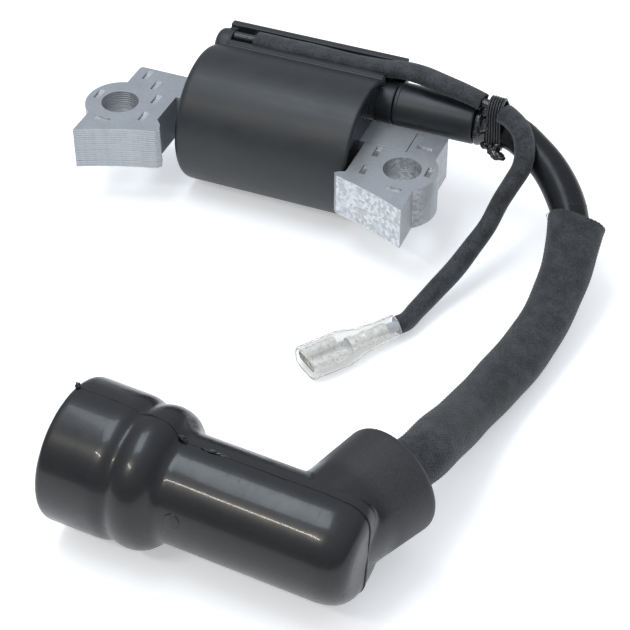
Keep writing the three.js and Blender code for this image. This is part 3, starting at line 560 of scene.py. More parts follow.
def thread_material():
    """Waxed black lacing thread."""
    r = Recipe("waxed_thread", Coat_Weight=0.3, Coat_Roughness=0.2)
    strand = r.speckle(1700, 4, 0.7)
    r.set("Base Color", r.ramp(strand, (0.009, 0.0105, 0.012), (0.042, 0.045, 0.050), 0.4, 0.75))
    r.set("Roughness", r.ramp(strand, 0.32, 0.55))
    r.bump((strand, 0.4, 0.00006))
    return r.material


def tin_material(name, colour, metallic=0.95, low=0.18, high=0.36):
    """Thin plated or bare sheet metal, with rolling marks and tarnish."""
    r = Recipe(name, Metallic=metallic)
    tarnish = r.speckle(800, 5)
    dark = tuple(c * 0.72 for c in colour)
    r.set("Base Color", r.ramp(tarnish, dark, colour))
    r.set("Roughness", r.ramp(r.speckle(1500, 4), low, high))
    r.bump((tarnish, 0.15, 0.00004))
    return r.material


def winding_material(name, colour, pitch):
    """Enamelled wire: turns side by side along X."""
    r = Recipe(name, Metallic=0.7, Coat_Weight=0.5)
    split = r.node("ShaderNodeSeparateXYZ", {"Vector": r.place})
    turns = r.math("SINE", r.math("MULTIPLY", split.outputs["X"], 2 * math.pi / pitch))
    # The colour darkens where the turns meet: painted shade in the grooves between turns.
    painted_groove_shade = r.math("ADD", r.math("MULTIPLY", turns, 0.25), 0.5)
    r.set("Base Color", r.ramp(painted_groove_shade, tuple(c * 0.6 for c in colour), colour))
    r.set("Roughness", r.ramp(r.speckle(900, 3), 0.25, 0.4))
    r.bump((turns, 0.6, 0.0001))
    return r.material


STEEL = steel_material("lamination_steel", False)
STEEL_SPECKLED = steel_material("lamination_steel_speckled", True)
STEEL_RAMP = tin_material("punched_ramp", (0.55, 0.58, 0.61), 0.8, 0.22, 0.36)
CASE = moulded_material("case_plastic", (0.0085, 0.0108, 0.0128), 0.38, 0.52)
TOWER = moulded_material("tower_plastic", (0.0070, 0.0092, 0.0115), 0.34, 0.46)
RESIN = moulded_material("potting_resin", (0.010, 0.011, 0.012), 0.15, 0.35, 600.0, 0.35)
BOBBIN = moulded_material("bobbin_plastic", (0.03, 0.03, 0.028), 0.45, 0.6)
COMPONENT = moulded_material("component_body", (0.02, 0.02, 0.022), 0.4, 0.55)
BOARD = moulded_material("board_laminate", (0.05, 0.13, 0.07), 0.4, 0.55)
BOOT = boot_material()
LEAD = lead_material("lead_insulation", 0.26, 0.38)
WIRE = wire_material()
LEAD_WEAVE_STRANDS, LEAD_WEAVE_PITCH = 44, 0.8
KILL_WEAVE_STRANDS, KILL_WEAVE_PITCH = 18, 0.72
LEAD_WEAVE = weave_material(LEAD_WEAVE_STRANDS, LEAD_WEAVE_PITCH)
KILL_WEAVE = weave_material(KILL_WEAVE_STRANDS, KILL_WEAVE_PITCH)
GLUE = glue_material()
THREAD = thread_material()
CLEAR = cover_material()
TIN = tin_material("tinned_brass", (0.93, 0.915, 0.875), 0.5, 0.22, 0.36)
# Near-black brass for the receptacle's cut ends: bare brass painted dark as shade, standing in for the dark
# inside the curls at the mouth.
SHADED_CUT_EDGE = tin_material("cut_edge_painted_shade", (0.115, 0.10, 0.065), 0.8, 0.35, 0.5)
CLIP = tin_material("spring_steel", (0.55, 0.55, 0.54))
BRASS = tin_material("brass", (0.72, 0.55, 0.26))
COPPER = winding_material("copper_winding", (0.62, 0.27, 0.12), 0.0005)
ENAMEL = winding_material("fine_winding", (0.42, 0.16, 0.07), 0.0002)


lead_path = smooth_route(LEAD_ROUTE, 1.2)


def make_lead():
    """The 7 mm lead, with the slight flats and swell that extruded rubber has."""
    def radius(distance, angle):
        swell = 0.012 * math.sin(distance * 0.35)
        flats = 0.008 * math.cos(2 * angle + distance * 0.05)
        return LEAD_R * (1 + swell + flats)

    obj = link_object("lead_rubber", sweep(lead_path, 48, radius))
    return finish_piece(obj, "coil_unit", LEAD, ["ht_lead"])


def braid(turn, run):
    """Height of a plain braid, 0 to 1. turn counts strands round the sleeve and run counts them along it."""
    a = turn + run
    b = turn - run
    i = math.floor(a)
    j = math.floor(b)
    over_a = abs(math.sin(math.pi * a)) ** 0.7 * (0.55 + 0.45 * math.sin(math.pi * (b + i)))
    over_b = abs(math.sin(math.pi * b)) ** 0.7 * (0.55 - 0.45 * math.sin(math.pi * (a + j)))
    return max(over_a, over_b)


def woven_tube(path, sides, strands, pitch, radius, wall, relief, wide, flare, slant):
    """A sleeve of braided strands, flattened by wide, opened by flare and cut at a slant at its first end."""
    def outer(distance, angle):
        turn = strands * angle / (2 * math.pi)
        shape = radius - wide * math.cos(2 * angle) + flare(distance, angle)
        slack = 0.10 * math.sin(distance * 0.21) + 0.05 * math.sin(distance * 0.53 + angle)
        return shape + slack + relief * (braid(turn, distance / pitch) - 0.6)

    def inner(distance, angle):
        return radius - wall - wide * math.cos(2 * angle) + flare(distance, angle)

    def cut(distance, angle, total):
        near_start = max(0.0, 1 - distance / (4 + 2 * slant))
        near_end = max(0.0, 1 - (total - distance) / 4)
        ragged = 0.16 * noise.noise(Vector((math.cos(angle) * 3, math.sin(angle) * 3, 0.5)))
        return near_start * (ragged + slant * (1 + math.sin(angle)) / 2) + near_end * ragged

    return sweep(path, sides, outer, inner, cut)


def loose_threads(path, radius, count, seed, first_end, reach):
    """Short broken filaments round a cut end, as one mesh."""
    rng = random.Random(seed)
    frames = path_frames(path)
    point, tangent, up, side, _ = frames[0] if first_end else frames[-1]
    outward = -tangent if first_end else tangent
    bm = bmesh.new()
    for _ in range(count):
        angle = rng.uniform(0, 2 * math.pi)
        ray = up * math.cos(angle) + side * math.sin(angle)
        start = point + ray * (radius - 0.15) - outward * 0.3
        bend = outward * rng.uniform(0.3, reach) + ray * rng.uniform(-0.25, 0.45)
        curl = side * rng.uniform(-0.5, 0.5) + up * rng.uniform(-0.4, 0.4)
        stations = [start + bend * t + curl * t * t for t in (0, 0.35, 0.7, 1.0)]
        thin = rng.uniform(0.035, 0.06)
        rings = []
        for k, centre in enumerate(stations):
            size = thin * (1 - 0.22 * k)
            rings.append([
                bm.verts.new(centre + (up * math.cos(a) + side * math.sin(a)) * size)
                for a in turns(3)
            ])
        join_rings(bm, rings)
        bm.faces.new(rings[0])
        bm.faces.new(rings[-1])
    return shell_from(bm, "threads")


def make_lead_sleeve():
    """Starts with a slanted cut whose outer corner stands off the lead."""
    route = [*LEAD_ROUTE[LEAD_SLEEVE_START:-2], on_lead_leg(15)]
    path = smooth_route(route, 0.2)

    def flare(distance, angle):
        outer = max(0.0, math.sin(angle)) ** 3
        return math.exp(-distance / 5.5) * (1.9 * outer - 0.55 * max(0.0, -math.sin(angle)))

    mesh = woven_tube(path, 176, LEAD_WEAVE_STRANDS, LEAD_WEAVE_PITCH, 4.4, 0.6, 0.22, 0.2, flare, 3.4)
    obj = link_object("lead_weave", mesh)
    finish_piece(obj, "coil_unit", LEAD_WEAVE, ["ht_lead_sleeve"], 180)
    ends = link_object("lead_weave_threads", loose_threads(path, 4.5, 22, 5, True, 1.0))
    finish_piece(ends, "coil_unit", LEAD_WEAVE)
    return [obj, ends]


lead = make_lead()
lead_pieces = make_lead_sleeve()


# ---------------------------------------------------------------- kill lead
kill_path = smooth_route(KILL_ROUTE, 0.8)


def make_kill_wire():
    obj = link_object("kill_wire_insulation", sweep(kill_path, 28, lambda distance, angle: KILL_WIRE_R))
    return finish_piece(obj, "coil_unit", WIRE, ["kill_wire"])


def make_kill_sleeve(name, node, span, seed, flare_size, wide):
    route = KILL_ROUTE[span[0]:span[1] + 1]
    if span == LOWER_SLEEVE:
        route = [TUCKED_END, *route]
    path = smooth_route(route, 0.18)

    def flare(distance, angle):
        return flare_size * math.exp(-distance / 3)

    mesh = woven_tube(path, 90, KILL_WEAVE_STRANDS, KILL_WEAVE_PITCH, 1.76, 0.35, 0.15, wide, flare, 0.4)
    obj = finish_piece(link_object(name, mesh), "coil_unit", KILL_WEAVE, [node], 180)
    made = [obj]
    for end, first_end in (("start", True), ("end", False)):
        threads = link_object(f"{name}_{end}_threads", loose_threads(path, 1.75, 14, seed, first_end, 0.7))
        made.append(finish_piece(threads, "coil_unit", KILL_WEAVE))
    return made


kill_wire = make_kill_wire()
kill_pieces = make_kill_sleeve("kill_weave_upper", "kill_sleeve_upper", UPPER_SLEEVE, 11, 0.05, 0.32)
kill_pieces += make_kill_sleeve("kill_weave_lower", "kill_sleeve_lower", LOWER_SLEEVE, 23, 0.25, 0.1)


# ---------------------------------------------------------------- laminated core
DIMPLE_LONG, DIMPLE_SHORT, DIMPLE_DEEP = 3.1, 1.2, 0.5
# (x outwards from the coil's middle, y, runs along X) of each interlock dimple
DIMPLES_BOTH = [(23.35, -2.8, False), (23.6, 3.4, False), (25.85, 7.9, False), (35.1, 0.9, False),
                (30.6, -6.6, True)]
DIMPLES_LEFT = [(29.1, 10.6, False)]
DIMPLES_RIGHT = [(31.7, 7.9, True)]


def section_at(node, height):
    """The outline of a CAD node at a height, as bench-frame triangles and boundary edges."""
    bm = bmesh.new()
    bm.from_mesh(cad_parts[node].data)
    bmesh.ops.transform(bm, matrix=TO_ROW.inverted(), verts=bm.verts)
    bmesh.ops.remove_doubles(bm, verts=bm.verts, dist=1e-3)
    geometry = bm.verts[:] + bm.edges[:] + bm.faces[:]
    bmesh.ops.bisect_plane(bm, geom=geometry, plane_co=(0, 0, height), plane_no=(0, 0, 1), dist=1e-5,
                           clear_inner=True, clear_outer=True)
    bmesh.ops.remove_doubles(bm, verts=bm.verts, dist=2e-3)
    bmesh.ops.dissolve_limit(bm, angle_limit=math.radians(0.5), verts=bm.verts, edges=bm.edges)
    bmesh.ops.triangle_fill(bm, edges=bm.edges[:], use_beauty=True, normal=(0, 0, 1))
    bm.verts.index_update()
    points = [Vector(v.co.xy) for v in bm.verts]
    triangles = [[v.index for v in f.verts] for f in bm.faces]
    rim = []
    for edge in bm.edges:
        if len(edge.link_faces) != 1:
            continue
        loop = edge.link_loops[0]
        a, b = loop.vert.index, loop.link_loop_next.vert.index
        rim.append((a, b) if edge.link_faces[0].normal.z > 0 else (b, a))
    bm.free()
    return points, triangles, rim


def rim_normals(points, rim):
    """Outward direction at each boundary point."""
    normals = {}
    for a, b in rim:
        along = (points[b] - points[a]).normalized()
        outward = Vector((along.y, -along.x))
        for k in (a, b):
            normals[k] = normals.get(k, Vector((0, 0))) + outward
    return {k: n.normalized() if n.length > 1e-6 else n for k, n in normals.items()}


def add_sheet(bm, section, z0, z1, slide, burr):
    """One punched sheet: its edges are slightly rolled, which leaves a groove between sheets."""
    points, triangles, rim = section
    normals = rim_normals(points, rim)
    edge = 0.06
    levels = [(z0, burr), (z0 + edge, 0.0), (z1 - edge, 0.0), (z1, burr)]
    rings = []
    for z, inset in levels:
        ring = {}
        for k, point in enumerate(points):
            if z not in (z0, z1) and k not in normals:
                continue
            flat = point - normals.get(k, Vector((0, 0))) * inset + slide
            ring[k] = bm.verts.new((flat.x, flat.y, z))
        rings.append(ring)
    for a, b, c in triangles:
        bm.faces.new((rings[0][c], rings[0][b], rings[0][a]))
        bm.faces.new((rings[-1][a], rings[-1][b], rings[-1][c]))
    for low, high in zip(rings, rings[1:]):
        for a, b in rim:
            bm.faces.new((low[a], low[b], high[b], high[a]))


def make_stack(name, node, seed, material, burr):
    """All sheets of one stack. The top one has the punched openings of the dimples."""
    rng = random.Random(seed)
    middle = section_at(node, (CORE_TOP + CORE_BOTTOM) / 2)
    top = section_at(node, CORE_TOP - DIMPLE_DEEP / 2)
    pitch = (CORE_TOP - CORE_BOTTOM) / SHEETS
    bm = bmesh.new()
    for i in range(SHEETS):
        z0 = CORE_BOTTOM + i * pitch
        section = middle
        slide = Vector((rng.uniform(-0.5, 0.5), rng.uniform(-0.6, 0.4))) * burr
        if i == SHEETS - 1:
            section = top
            slide = Vector((0, 0))
        add_sheet(bm, section, z0 + 0.004, z0 + pitch - 0.004, slide, burr)
    obj = link_object(name, shell_from(bm, name))
    return finish_piece(obj, "coil_unit", material, [node], 30)


def make_dimples(name, side, marks):
    """The pushed-down tongues of the interlocks: each slopes down from one end."""
    bm = bmesh.new()
    for outwards, y, along_x in marks:
        centre = Vector((side * outwards, y, CORE_TOP))
        along = Vector((side, 0, 0)) if along_x else Vector((0, 1, 0))
        if side < 0:
            along = -along
        across = Vector((along.y, along.x, 0))
        half = DIMPLE_LONG / 2 - 0.02
        wide = DIMPLE_SHORT / 2 - 0.02
        floor = -DIMPLE_DEEP + 0.02
        outline = [(-half, -0.03), (-half + 0.25, -0.06), (-half + 1.15, floor + 0.12), (half, floor + 0.06),
                   (half, floor - 0.02), (-half, floor - 0.02)]
        rings = [
            [bm.verts.new(centre + along * a + across * reach + Vector((0, 0, z))) for a, z in outline]
            for reach in (-wide, wide)
        ]
        bm.faces.new(rings[0])
        bm.faces.new(rings[1])
        join_rings(bm, rings)
    obj = link_object(name, shell_from(bm, name))
    return finish_piece(obj, "coil_unit", STEEL_RAMP, (), 25)


make_stack("left_laminations", "core_main_stack", 3, STEEL, 0.06)
make_stack("right_laminations", "core_right_leg_stack", 7, STEEL_SPECKLED, 0.025)
make_dimples("left_interlocks", -1, DIMPLES_BOTH + DIMPLES_LEFT)
make_dimples("right_interlocks", 1, DIMPLES_BOTH + DIMPLES_RIGHT)


# ---------------------------------------------------------------- coil case, resin and tower
def make_case():
    """The cup round the coil, the rail with the kill lead's groove and knob, and the tower's stub."""
    past_end, above = 30, 40  # outside the case, for tools that cut right through
    on_axis = Matrix.Translation((0, COIL_Y, COIL_Z))
    on_tower = Matrix.Translation((0, TOWER_Y, TOWER_Z))
    bore = CASE_R - CASE_WALL
    cup = fillet([
        (CASE_X0, 0), (CASE_X0, CASE_R, 1.5), (CASE_X1, CASE_R, 0.35), (CASE_X1, bore, 0.25),
        (CASE_X0 + CASE_WALL, bore), (CASE_X0 + CASE_WALL, 0),
    ])
    obj = link_object("case_moulding", lathe(cup, on_axis, 192))
    lip_front = GROOVE_FRONT - LIP_WIDTH
    rail = [(lip_front - 0.6, GROOVE_FLOOR + 0.2), (lip_front, LIP_TOP), (lip_front, WALL_TOP),
            (WALL_BACK, WALL_TOP), (WALL_BACK, 15.8), (22.6, 14.0), (14.5, 17.5)]
    rear = [(GROOVE_BACK, 15.8), (WALL_BACK, 15.8), (WALL_BACK, WALL_TOP), (GROOVE_BACK, WALL_TOP)]
    knob_radius = (WALL_BACK - lip_front) / 2
    knob_x = CASE_X0 - 1.0
    knob_end = knob_x + 3.6
    knob_top = WALL_TOP - 0.6
    knob_place = Matrix.Translation((0, lip_front + knob_radius, knob_top - knob_radius))
    knob = lathe(fillet([(knob_x, 0), (knob_x, knob_radius, 1.6), (knob_end, knob_radius), (knob_end, 0)]),
                 knob_place, 96)
    walls = link_object("walls", prism(rail, CASE_X0 + 1, CASE_X1))
    beside_knob = block((CASE_X0, lip_front - 1, knob_top - knob_radius), (knob_end, GROOVE_BACK, above))
    combine(walls, [beside_knob], "DIFFERENCE")
    walls_mesh = walls.data
    bpy.data.objects.remove(walls)
    combine(obj, [walls_mesh, knob, prism(rear, CASE_X1 - 1, STUB_END)], "UNION")
    combine(obj, [
        lathe([(CASE_X0 + CASE_WALL, 0), (CASE_X0 + CASE_WALL, bore), (past_end, bore), (past_end, 0)],
              on_axis, 192),
        block((knob_end, GROOVE_FRONT, GROOVE_FLOOR), (past_end, GROOVE_BACK, above)),
        block((knob_end, lip_front - 1, LIP_TOP), (past_end, GROOVE_FRONT + 0.1, above)),
    ], "DIFFERENCE")
    stub = lathe([(STUB_START, 0), (STUB_START, STUB_R), (STUB_END, STUB_R), (STUB_END, 0)], on_tower, 96)
    combine(obj, [stub], "UNION")
    slot_low = (-20, COIL_Y - YOKE_SLOT_HALF, CORE_BOTTOM - YOKE_SLOT_GAP)
    slot_high = (25, COIL_Y + YOKE_SLOT_HALF, CORE_TOP + YOKE_SLOT_GAP)
    combine(obj, [block(slot_low, slot_high)], "DIFFERENCE")
    soften(obj, 0.2, 3)
    return finish_piece(obj, "coil_unit", CASE, ["coil_case"], 180)


def make_tower():
    """The tower round the lead: a stepped foot, a slight taper and a rounded end."""
    bore = LEAD_R + 0.2
    profile = fillet([
        (TOWER_X0, bore), (TOWER_X0, TOWER_R + 0.15, 0.2), (TOWER_X0 + 0.7, TOWER_R + 0.2, 0.15),
        (TOWER_X0 + 0.75, TOWER_R + 0.05, 0.05), (TOWER_X1, TOWER_R - 0.1, 0.5), (TOWER_X1, bore, 0.2),
        (TOWER_X1 - 1, bore),
    ])
    mesh = lathe(profile, Matrix.Translation((0, TOWER_Y, TOWER_Z)), 128, closed=True)
    return finish_piece(link_object("tower_moulding", mesh), "coil_unit", TOWER, ["ht_tower"], 50)


make_case()
make_tower()


# ---------------------------------------------------------------- tie and adhesive
def blob(centre, size, seed, rough=0.25):
    """A lump of adhesive: a ball pulled out of shape by noise."""
    bm = bmesh.new()
    bmesh.ops.create_icosphere(bm, subdivisions=4, radius=1)
    for v in bm.verts:
        swell = 1 + rough * noise.noise(v.co * 1.7 + Vector((seed, 0, 0)))
        v.co = Vector(centre) + Vector(v.co[k] * size[k] for k in range(3)) * swell
    return mesh_from(bm, "blob")


def tie_outline(offset):
    """Outline in Y and Z round the lead and the kill wire side by side."""
    lead_at = Vector((TOWER_Y, TOWER_Z))
    wire_at = Vector(KILL_ROUTE[TIE_STATION][1:])
    lead_r = LEAD_R + offset
    wire_r = KILL_SLEEVE_R + offset
    span = wire_at - lead_at
    axis = math.atan2(span.y, span.x)
    spread = math.acos((lead_r - wire_r) / span.length)
    outline = []
    for centre, radius, start, end, steps in (
        (lead_at, lead_r, axis + spread, axis + 2 * math.pi - spread, 40),
        (wire_at, wire_r, axis - spread, axis + spread, 20),
    ):
        for k in range(steps + 1):
            angle = start + (end - start) * k / steps
            outline.append((centre.x + radius * math.cos(angle), centre.y + radius * math.sin(angle)))
    return outline


TIE_X, TIE_HALF = 43.4, 1.5
THREAD_PITCH = 0.5


def make_tie():
    """Turns of lacing thread round both leads, set in lumps of adhesive."""
    bm = bmesh.new()
    steps = 60
    stations = []
    for k in range(steps + 1):
        x = TIE_X - TIE_HALF + 2 * TIE_HALF * k / steps
        ridge = abs(math.sin(math.pi * (x - TIE_X + TIE_HALF) / THREAD_PITCH)) ** 0.6
        stations.append((x, 0.3 + 0.32 * ridge + 0.05 * math.sin(2.1 * x)))
    stations += [(x, 0.1) for x, _ in reversed(stations[::10])]
    rings = [[bm.verts.new((x, y, z)) for y, z in tie_outline(offset)] for x, offset in stations]
    join_rings(bm, [*rings, rings[0]])
    band = link_object("tie_thread", shell_from(bm, "tie_thread"))
    finish_piece(band, "coil_unit", THREAD, ["lead_tie"], 60)
    x = TIE_X
    lumps = link_object("tie_adhesive", blob((x - 1.7, 14.3, 25.4), (1.1, 1.0, 1.2), 1.0, 0.2))
    combine(lumps, [
        blob((x - 1.6, 15.6, 26.8), (1.2, 1.3, 0.7), 2.0, 0.2),
        blob((x - 1.7, 13.9, 22.6), (0.9, 0.8, 1.6), 3.0, 0.2),
        blob((x - 1.8, 15.4, 17.0), (1.0, 1.1, 1.1), 4.0, 0.2),
    ], "UNION")
    combine(lumps, [prism(tie_outline(0.1), x - 6, x + 6)], "DIFFERENCE")
    soften(lumps, 0.14, 8)
    finish_piece(lumps, "coil_unit", GLUE, (), 180)
    tail = link_object("tie_tail_drop", blob((x + 1.6, 13.0, 16.6), (1.5, 0.8, 0.9), 6.0, 0.35))
    combine(tail, [
        blob((x + 0.3, 13.9, 16.9), (1.3, 1.0, 1.0), 8.0, 0.3),
        blob((x + 0.8, 14.6, 17.6), (1.0, 0.9, 1.2), 9.0, 0.3),
    ], "UNION")
    soften(tail, 0.13, 5)
    finish_piece(tail, "coil_unit", GLUE, ["tie_tail"], 180)
    return [band, lumps, tail]


def make_sealant():
    """The uneven fillet of adhesive between the tower's end and the lead."""
    bm = bmesh.new()
    skirt = LEAD_R + 0.12
    profile = fillet([
        (39.25, skirt), (39.25, 4.25, 0.4), (40.4, 4.35, 0.6), (41.6, 3.7, 0.2), (41.6, skirt),
    ], 4)
    rings = []
    for x, radius in profile:
        ring = []
        for angle in turns(96):
            lump = 0.28 * noise.noise(Vector((2.2 * math.cos(angle), 2.2 * math.sin(angle), x * 0.7)))
            grown = radius + (lump if radius > skirt + 0.03 else 0)
            y = TOWER_Y + grown * math.cos(angle)
            z = TOWER_Z + grown * math.sin(angle)
            ring.append(bm.verts.new((x, y, z)))
        rings.append(ring)
    join_rings(bm, [*rings, rings[0]])
    obj = link_object("sealant_fillet", shell_from(bm, "sealant"))
    return finish_piece(obj, "coil_unit", GLUE, ["lead_sealant"], 180)


tie_pieces = make_tie()
sealant = make_sealant()


# ---------------------------------------------------------------- terminal cover
def make_cover():
    """Clear slip-on cover: a flat rounded mouth that closes to a round barrel."""
    stations = [(-19.4, 3.42, 2.12), (-19.1, 3.55, 2.24), (-18.2, 3.56, 2.24), (-11.4, 3.6, 2.3),
                (-10.2, 3.42, 2.34), (-8.9, 3.0, 2.38), (-7.6, 2.66, 2.42), (-6.2, 2.56, 2.45),
                (-4.4, 2.44, 2.42), (-4.1, 2.36, 2.36), (-0.5, 2.35, 2.35), (0, 2.25, 2.25)]
    wall = 0.38
    bm = bmesh.new()

    def ring(x, wide, high, squareness):
        verts = []
        for angle in turns(72):
            c, s = math.cos(angle), math.sin(angle)
            y = wide * math.copysign(abs(c) ** squareness, c)
            z = high * math.copysign(abs(s) ** squareness, s)
            verts.append(bm.verts.new(TERMINAL_MATRIX @ Vector((x, y, z))))
        return verts

    def squareness(wide, high):
        return 1 - 0.42 * min(1.0, (wide - high) / 1.2) if wide > high else 1.0

    outer = [ring(x, w, h, squareness(w, h)) for x, w, h in stations]
    inner = [ring(x, w - wall, h - wall, squareness(w, h)) for x, w, h in reversed(stations)]
    join_rings(bm, [*outer, *inner, outer[0]])
    obj = link_object("cover_vinyl", shell_from(bm, "cover"))
    return finish_piece(obj, "spade_cover", CLEAR, ["terminal_cover"], 60)


def curled_section():
    """Outline of the receptacle's sheet: a flat bottom with both edges rolled over."""
    middle = [(0.0, -0.5), (1.6, -0.5), (2.25, -0.38), (2.62, 0.0), (2.66, 0.55), (2.4, 1.1), (1.8, 1.35),
              (1.2, 1.2), (0.95, 0.75), (1.1, 0.3), (1.55, 0.1)]
    half = 0.19
    left, right = [], []
    for k, point in enumerate(middle):
        here = Vector(point)
        ahead = Vector(middle[min(k + 1, len(middle) - 1)]) - Vector(middle[max(k - 1, 0)])
        out = Vector((ahead.y, -ahead.x)).normalized() * half
        left.append(here + out)
        right.append(here - out)
    loop = left + right[::-1]
    mirrored = [Vector((-p.x, p.y)) for p in loop]
    count = len(left)
    return [*left, *right[:0:-1], right[0], *mirrored[count:-1][::-1], *mirrored[:count][::-1]]


def make_receptacle():
    """Tinned spade receptacle: rolled channel, neck, and a barrel crimped on wire and insulation."""
    obj = link_object("receptacle_sheet", prism(curled_section(), -18.95, -12.1))
    barrel = fillet([
        (-10.3, 1.12), (-10.3, 1.55, 0.1), (-9.2, 1.55, 0.2), (-8.8, 1.3, 0.2), (-7.4, 1.3, 0.2),
        (-7.0, 1.55, 0.2), (-5.9, 1.55, 0.2), (-5.5, 1.38, 0.2), (-4.6, 1.38, 0.2), (-4.2, 1.5, 0.2),
        (-2.2, 1.5, 0.1), (-2.2, 1.12),
    ], 3)
    neck = block((-12.9, -1.15, -0.84), (-9.6, 1.15, -0.44))
    sides = [block((-12.3, y - 0.2, -0.8), (-9.8, y + 0.2, 0.5)) for y in (-1.2, 1.2)]
    combine(obj, [neck, *sides, lathe(barrel, steps=64, closed=True)], "UNION")
    obj.data.transform(TERMINAL_MATRIX)
    finish_piece(obj, "coil_unit", TIN, ["spade_receptacle"], 35)
    # Faces turned towards the mouth get the near-black brass: painted shade on the cut ends.
    obj.data.materials.append(SHADED_CUT_EDGE)
    for polygon in obj.data.polygons:
        if polygon.normal.dot(WIRE_DIRECTION) < -0.9:
            polygon.material_index = 1
    return obj


receptacle = make_receptacle()
cover = make_cover()


# ---------------------------------------------------------------- spark plug boot
BODY_R, CUP_R, COLLAR_R = 9.25, 12.4, 12.15
BOOT_LENGTH, CUP_X, COLLAR_X = 43.8, 31.4, 26.5
LEG_R, LEG_TAPER, LEG_LENGTH = 9.6, 1.0, 18.4
SEAM_TILT = math.radians(9)
BOOT_ROUND_STEPS = 8


def boot_outline():
    """Outer profile of the plug leg: domed end, body, shoulder, collar, valley and cup."""
    return fillet([
        (-BODY_R, 0), (-BODY_R, BODY_R, 6.0), (COLLAR_X - 2.6, BODY_R, 1.0),
        (COLLAR_X - 0.7, COLLAR_R - 0.6, 1.6), (COLLAR_X + 1.6, COLLAR_R + 0.05, 1.6),
        (CUP_X - 1.4, COLLAR_R - 0.15, 0.9), (CUP_X - 0.2, COLLAR_R - 0.7, 1.2),
        (CUP_X + 1.6, CUP_R - 0.1, 1.2), (BOOT_LENGTH, CUP_R, 1.0), (BOOT_LENGTH, 0),
    ], BOOT_ROUND_STEPS)


def make_boot():
    """Both legs in one skin, with the plug's bore and the lead's."""
    leg = fillet([(0, 0), (0, LEG_R - LEG_TAPER), (LEG_LENGTH, LEG_R, 1.5), (LEG_LENGTH, 0)], 6)
    obj = link_object("boot_rubber_shell", lathe(boot_outline(), BOOT_MATRIX, 160))
    combine(obj, [lathe(leg, LEAD_LEG_MATRIX, 144)], "UNION")
    soften(obj, 0.3, 8)
    plug_bore = fillet([(4, 0), (4, 7.2, 1.0), (27.3, 7.2, 1.0), (CUP_X, 9.5, 1.0), (50, 9.5), (50, 0)])
    combine(obj, [
        lathe(plug_bore, BOOT_MATRIX, 96),
        lathe([(-4, 0), (-4, 4.5), (5, 4.5), (5, 0)], BOOT_MATRIX, 64),
        lathe([(3.5, 0), (3.5, 3.7), (22, 3.7), (22, 0)], LEAD_LEG_MATRIX, 64),
        lathe([(LEG_LENGTH - 5, 0), (LEG_LENGTH - 5, 5.8), (22, 5.8), (22, 0)], LEAD_LEG_MATRIX, 72),
    ], "DIFFERENCE")
    return finish_piece(obj, "plug_boot", BOOT, ["boot_shell"], 50)


def seam_point(along, radius, side):
    """A point on the mould's parting line: side is 1 on top of the boot and -1 below it."""
    local = Vector((along, -side * radius * math.sin(SEAM_TILT), side * radius * math.cos(SEAM_TILT)))
    return BOOT_MATRIX @ local


def make_seam():
    """Thin uneven flash where the mould's halves met, along the plug leg and round its end."""
    spacing = 0.35
    outline = boot_outline()[:-BOOT_ROUND_STEPS - 1]  # up to the rounding of the mouth's rim
    upper = [seam_point(x, r, 1) for x, r in outline]
    lower = [seam_point(x, r, -1) for x, r in outline]
    path = smooth_route([*reversed(lower), *upper[1:]], spacing)
    rng = random.Random(19)
    ridge = [max(0.05, 0.13 + 0.16 * noise.noise(Vector((i * 0.07, 0.3, 0))) + rng.uniform(-0.02, 0.02))
             for i in range(len(path))]

    def radius(distance, angle):
        return ridge[min(len(ridge) - 1, int(distance / spacing))]

    obj = link_object("boot_flash", sweep(path, 8, radius))
    finish_piece(obj, "plug_boot", BOOT)
    rim = seam_point(BOOT_LENGTH - 0.5, CUP_R + 0.1, 1)
    tabs = link_object("boot_flash_tabs", blob(rim, (0.5, 0.5, 0.4), 3.0, 0.6))
    extra = [
        blob(seam_point(COLLAR_X - 2.0, COLLAR_R - 1.1, -1), (0.9, 0.8, 1.2), 5.0, 0.8),
        blob(seam_point(COLLAR_X - 2.2, COLLAR_R - 2.4, 1), (1.3, 0.35, 0.4), 6.0, 0.8),
        blob(seam_point(18, BODY_R, 1), (1.8, 0.3, 0.25), 7.0, 0.8),
    ]
    combine(tabs, extra, "UNION")
    finish_piece(tabs, "plug_boot", BOOT)
    return [obj, tabs]


def make_pin_mark():
    """The round ejector mark on the front of the plug leg."""
    angle = math.radians(14)
    place = BOOT_MATRIX @ Matrix.Translation((20.2, 0, 0)) @ Matrix.Rotation(-math.pi / 2 + angle, 4, "X")
    upright = place @ Matrix.Rotation(-math.pi / 2, 4, "Y")
    disc = fillet([(BODY_R - 0.6, 0), (BODY_R - 0.6, 1.5), (BODY_R + 0.06, 1.5, 0.2), (BODY_R + 0.12, 0)], 3)
    obj = link_object("boot_pin_mark", lathe(disc, upright, 48))
    return finish_piece(obj, "plug_boot", BOOT)


boot = make_boot()
seam_pieces = make_seam()
pin_mark = make_pin_mark()


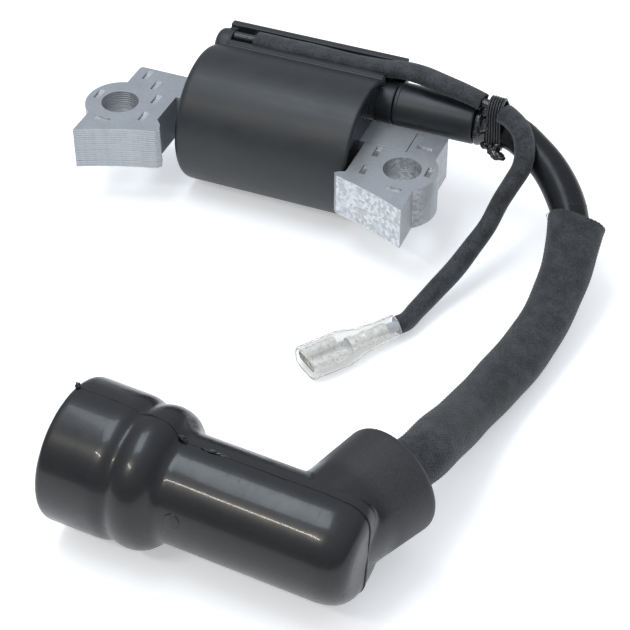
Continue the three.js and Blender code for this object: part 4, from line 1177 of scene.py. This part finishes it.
# ---------------------------------------------------------------- carried-over CAD nodes
KEPT = {
    "potting_resin": RESIN, "primary_bobbin": BOBBIN, "secondary_bobbin": BOBBIN, "primary_winding": COPPER,
    "trigger_board": BOARD, "power_transistor": COMPONENT, "trigger_resistor": COMPONENT,
    "bias_resistor": COMPONENT, "suppression_diode": COMPONENT, "kill_lead_pad": BRASS, "ground_tab": BRASS,
    "ht_output_pin": BRASS, "plug_clip": CLIP, "lead_spike": BRASS,
    **{f"secondary_winding_{i}": ENAMEL for i in range(1, 7)},
}
for node_name, node_material in KEPT.items():
    node_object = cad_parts[node_name]
    for material_slot in node_object.material_slots:
        material_slot.material = node_material


# ---------------------------------------------------------------- floor and light
def add_floor():
    bm = bmesh.new()
    bmesh.ops.create_grid(bm, x_segments=1, y_segments=1, size=4)
    floor = link_object("floor", mesh_from(bm, "floor"))
    # The floor also glows faintly: a glow that lightens the shadows under the coil and lights its undersides
    # from below.
    r = Recipe("floor_paper", Roughness=0.9, Emission_Color=(0.97, 0.985, 1.0, 1), Emission_Strength=0.36)
    r.set("Base Color", r.ramp(r.speckle(30, 2), (0.90, 0.90, 0.905), (0.915, 0.915, 0.92)))
    floor.data.materials.append(r.material)


def add_area(name, place, target, size, power, colour=(1, 1, 1)):
    data = bpy.data.lights.new(name, "AREA")
    data.shape = "RECTANGLE"
    data.size, data.size_y = size
    data.energy = power
    data.color = colour
    lamp = bpy.data.objects.new(name, data)
    bpy.context.scene.collection.objects.link(lamp)
    lamp.matrix_world = aim(place, target)


def add_light():
    world = bpy.data.worlds.new("studio")
    world.use_nodes = True
    nodes, links = world.node_tree.nodes, world.node_tree.links
    place = nodes.new("ShaderNodeTexCoord")
    split = nodes.new("ShaderNodeSeparateXYZ")
    sky = nodes.new("ShaderNodeValToRGB")
    links.new(place.outputs["Generated"], split.inputs["Vector"])
    links.new(split.outputs["Z"], sky.inputs["Fac"])
    links.new(sky.outputs["Color"], nodes["Background"].inputs["Color"])
    for element, height, tone in zip(sky.color_ramp.elements, (0.05, 0.95), (0.42, 1.0)):
        element.position = height
        element.color = (tone * 0.96, tone, tone * 1.06, 1)
    nodes["Background"].inputs["Strength"].default_value = 0.95
    bpy.context.scene.world = world
    add_area("key", (-0.10, -0.06, 0.46), (0.01, -0.04, 0.01), (0.30, 0.16), 0.8, (0.84, 0.92, 1.0))
    add_area("front", (-0.15, -0.40, 0.44), (0.01, -0.06, 0.01), (0.14, 0.012), 0.5, (1.0, 0.93, 0.82))


add_floor()
add_light()
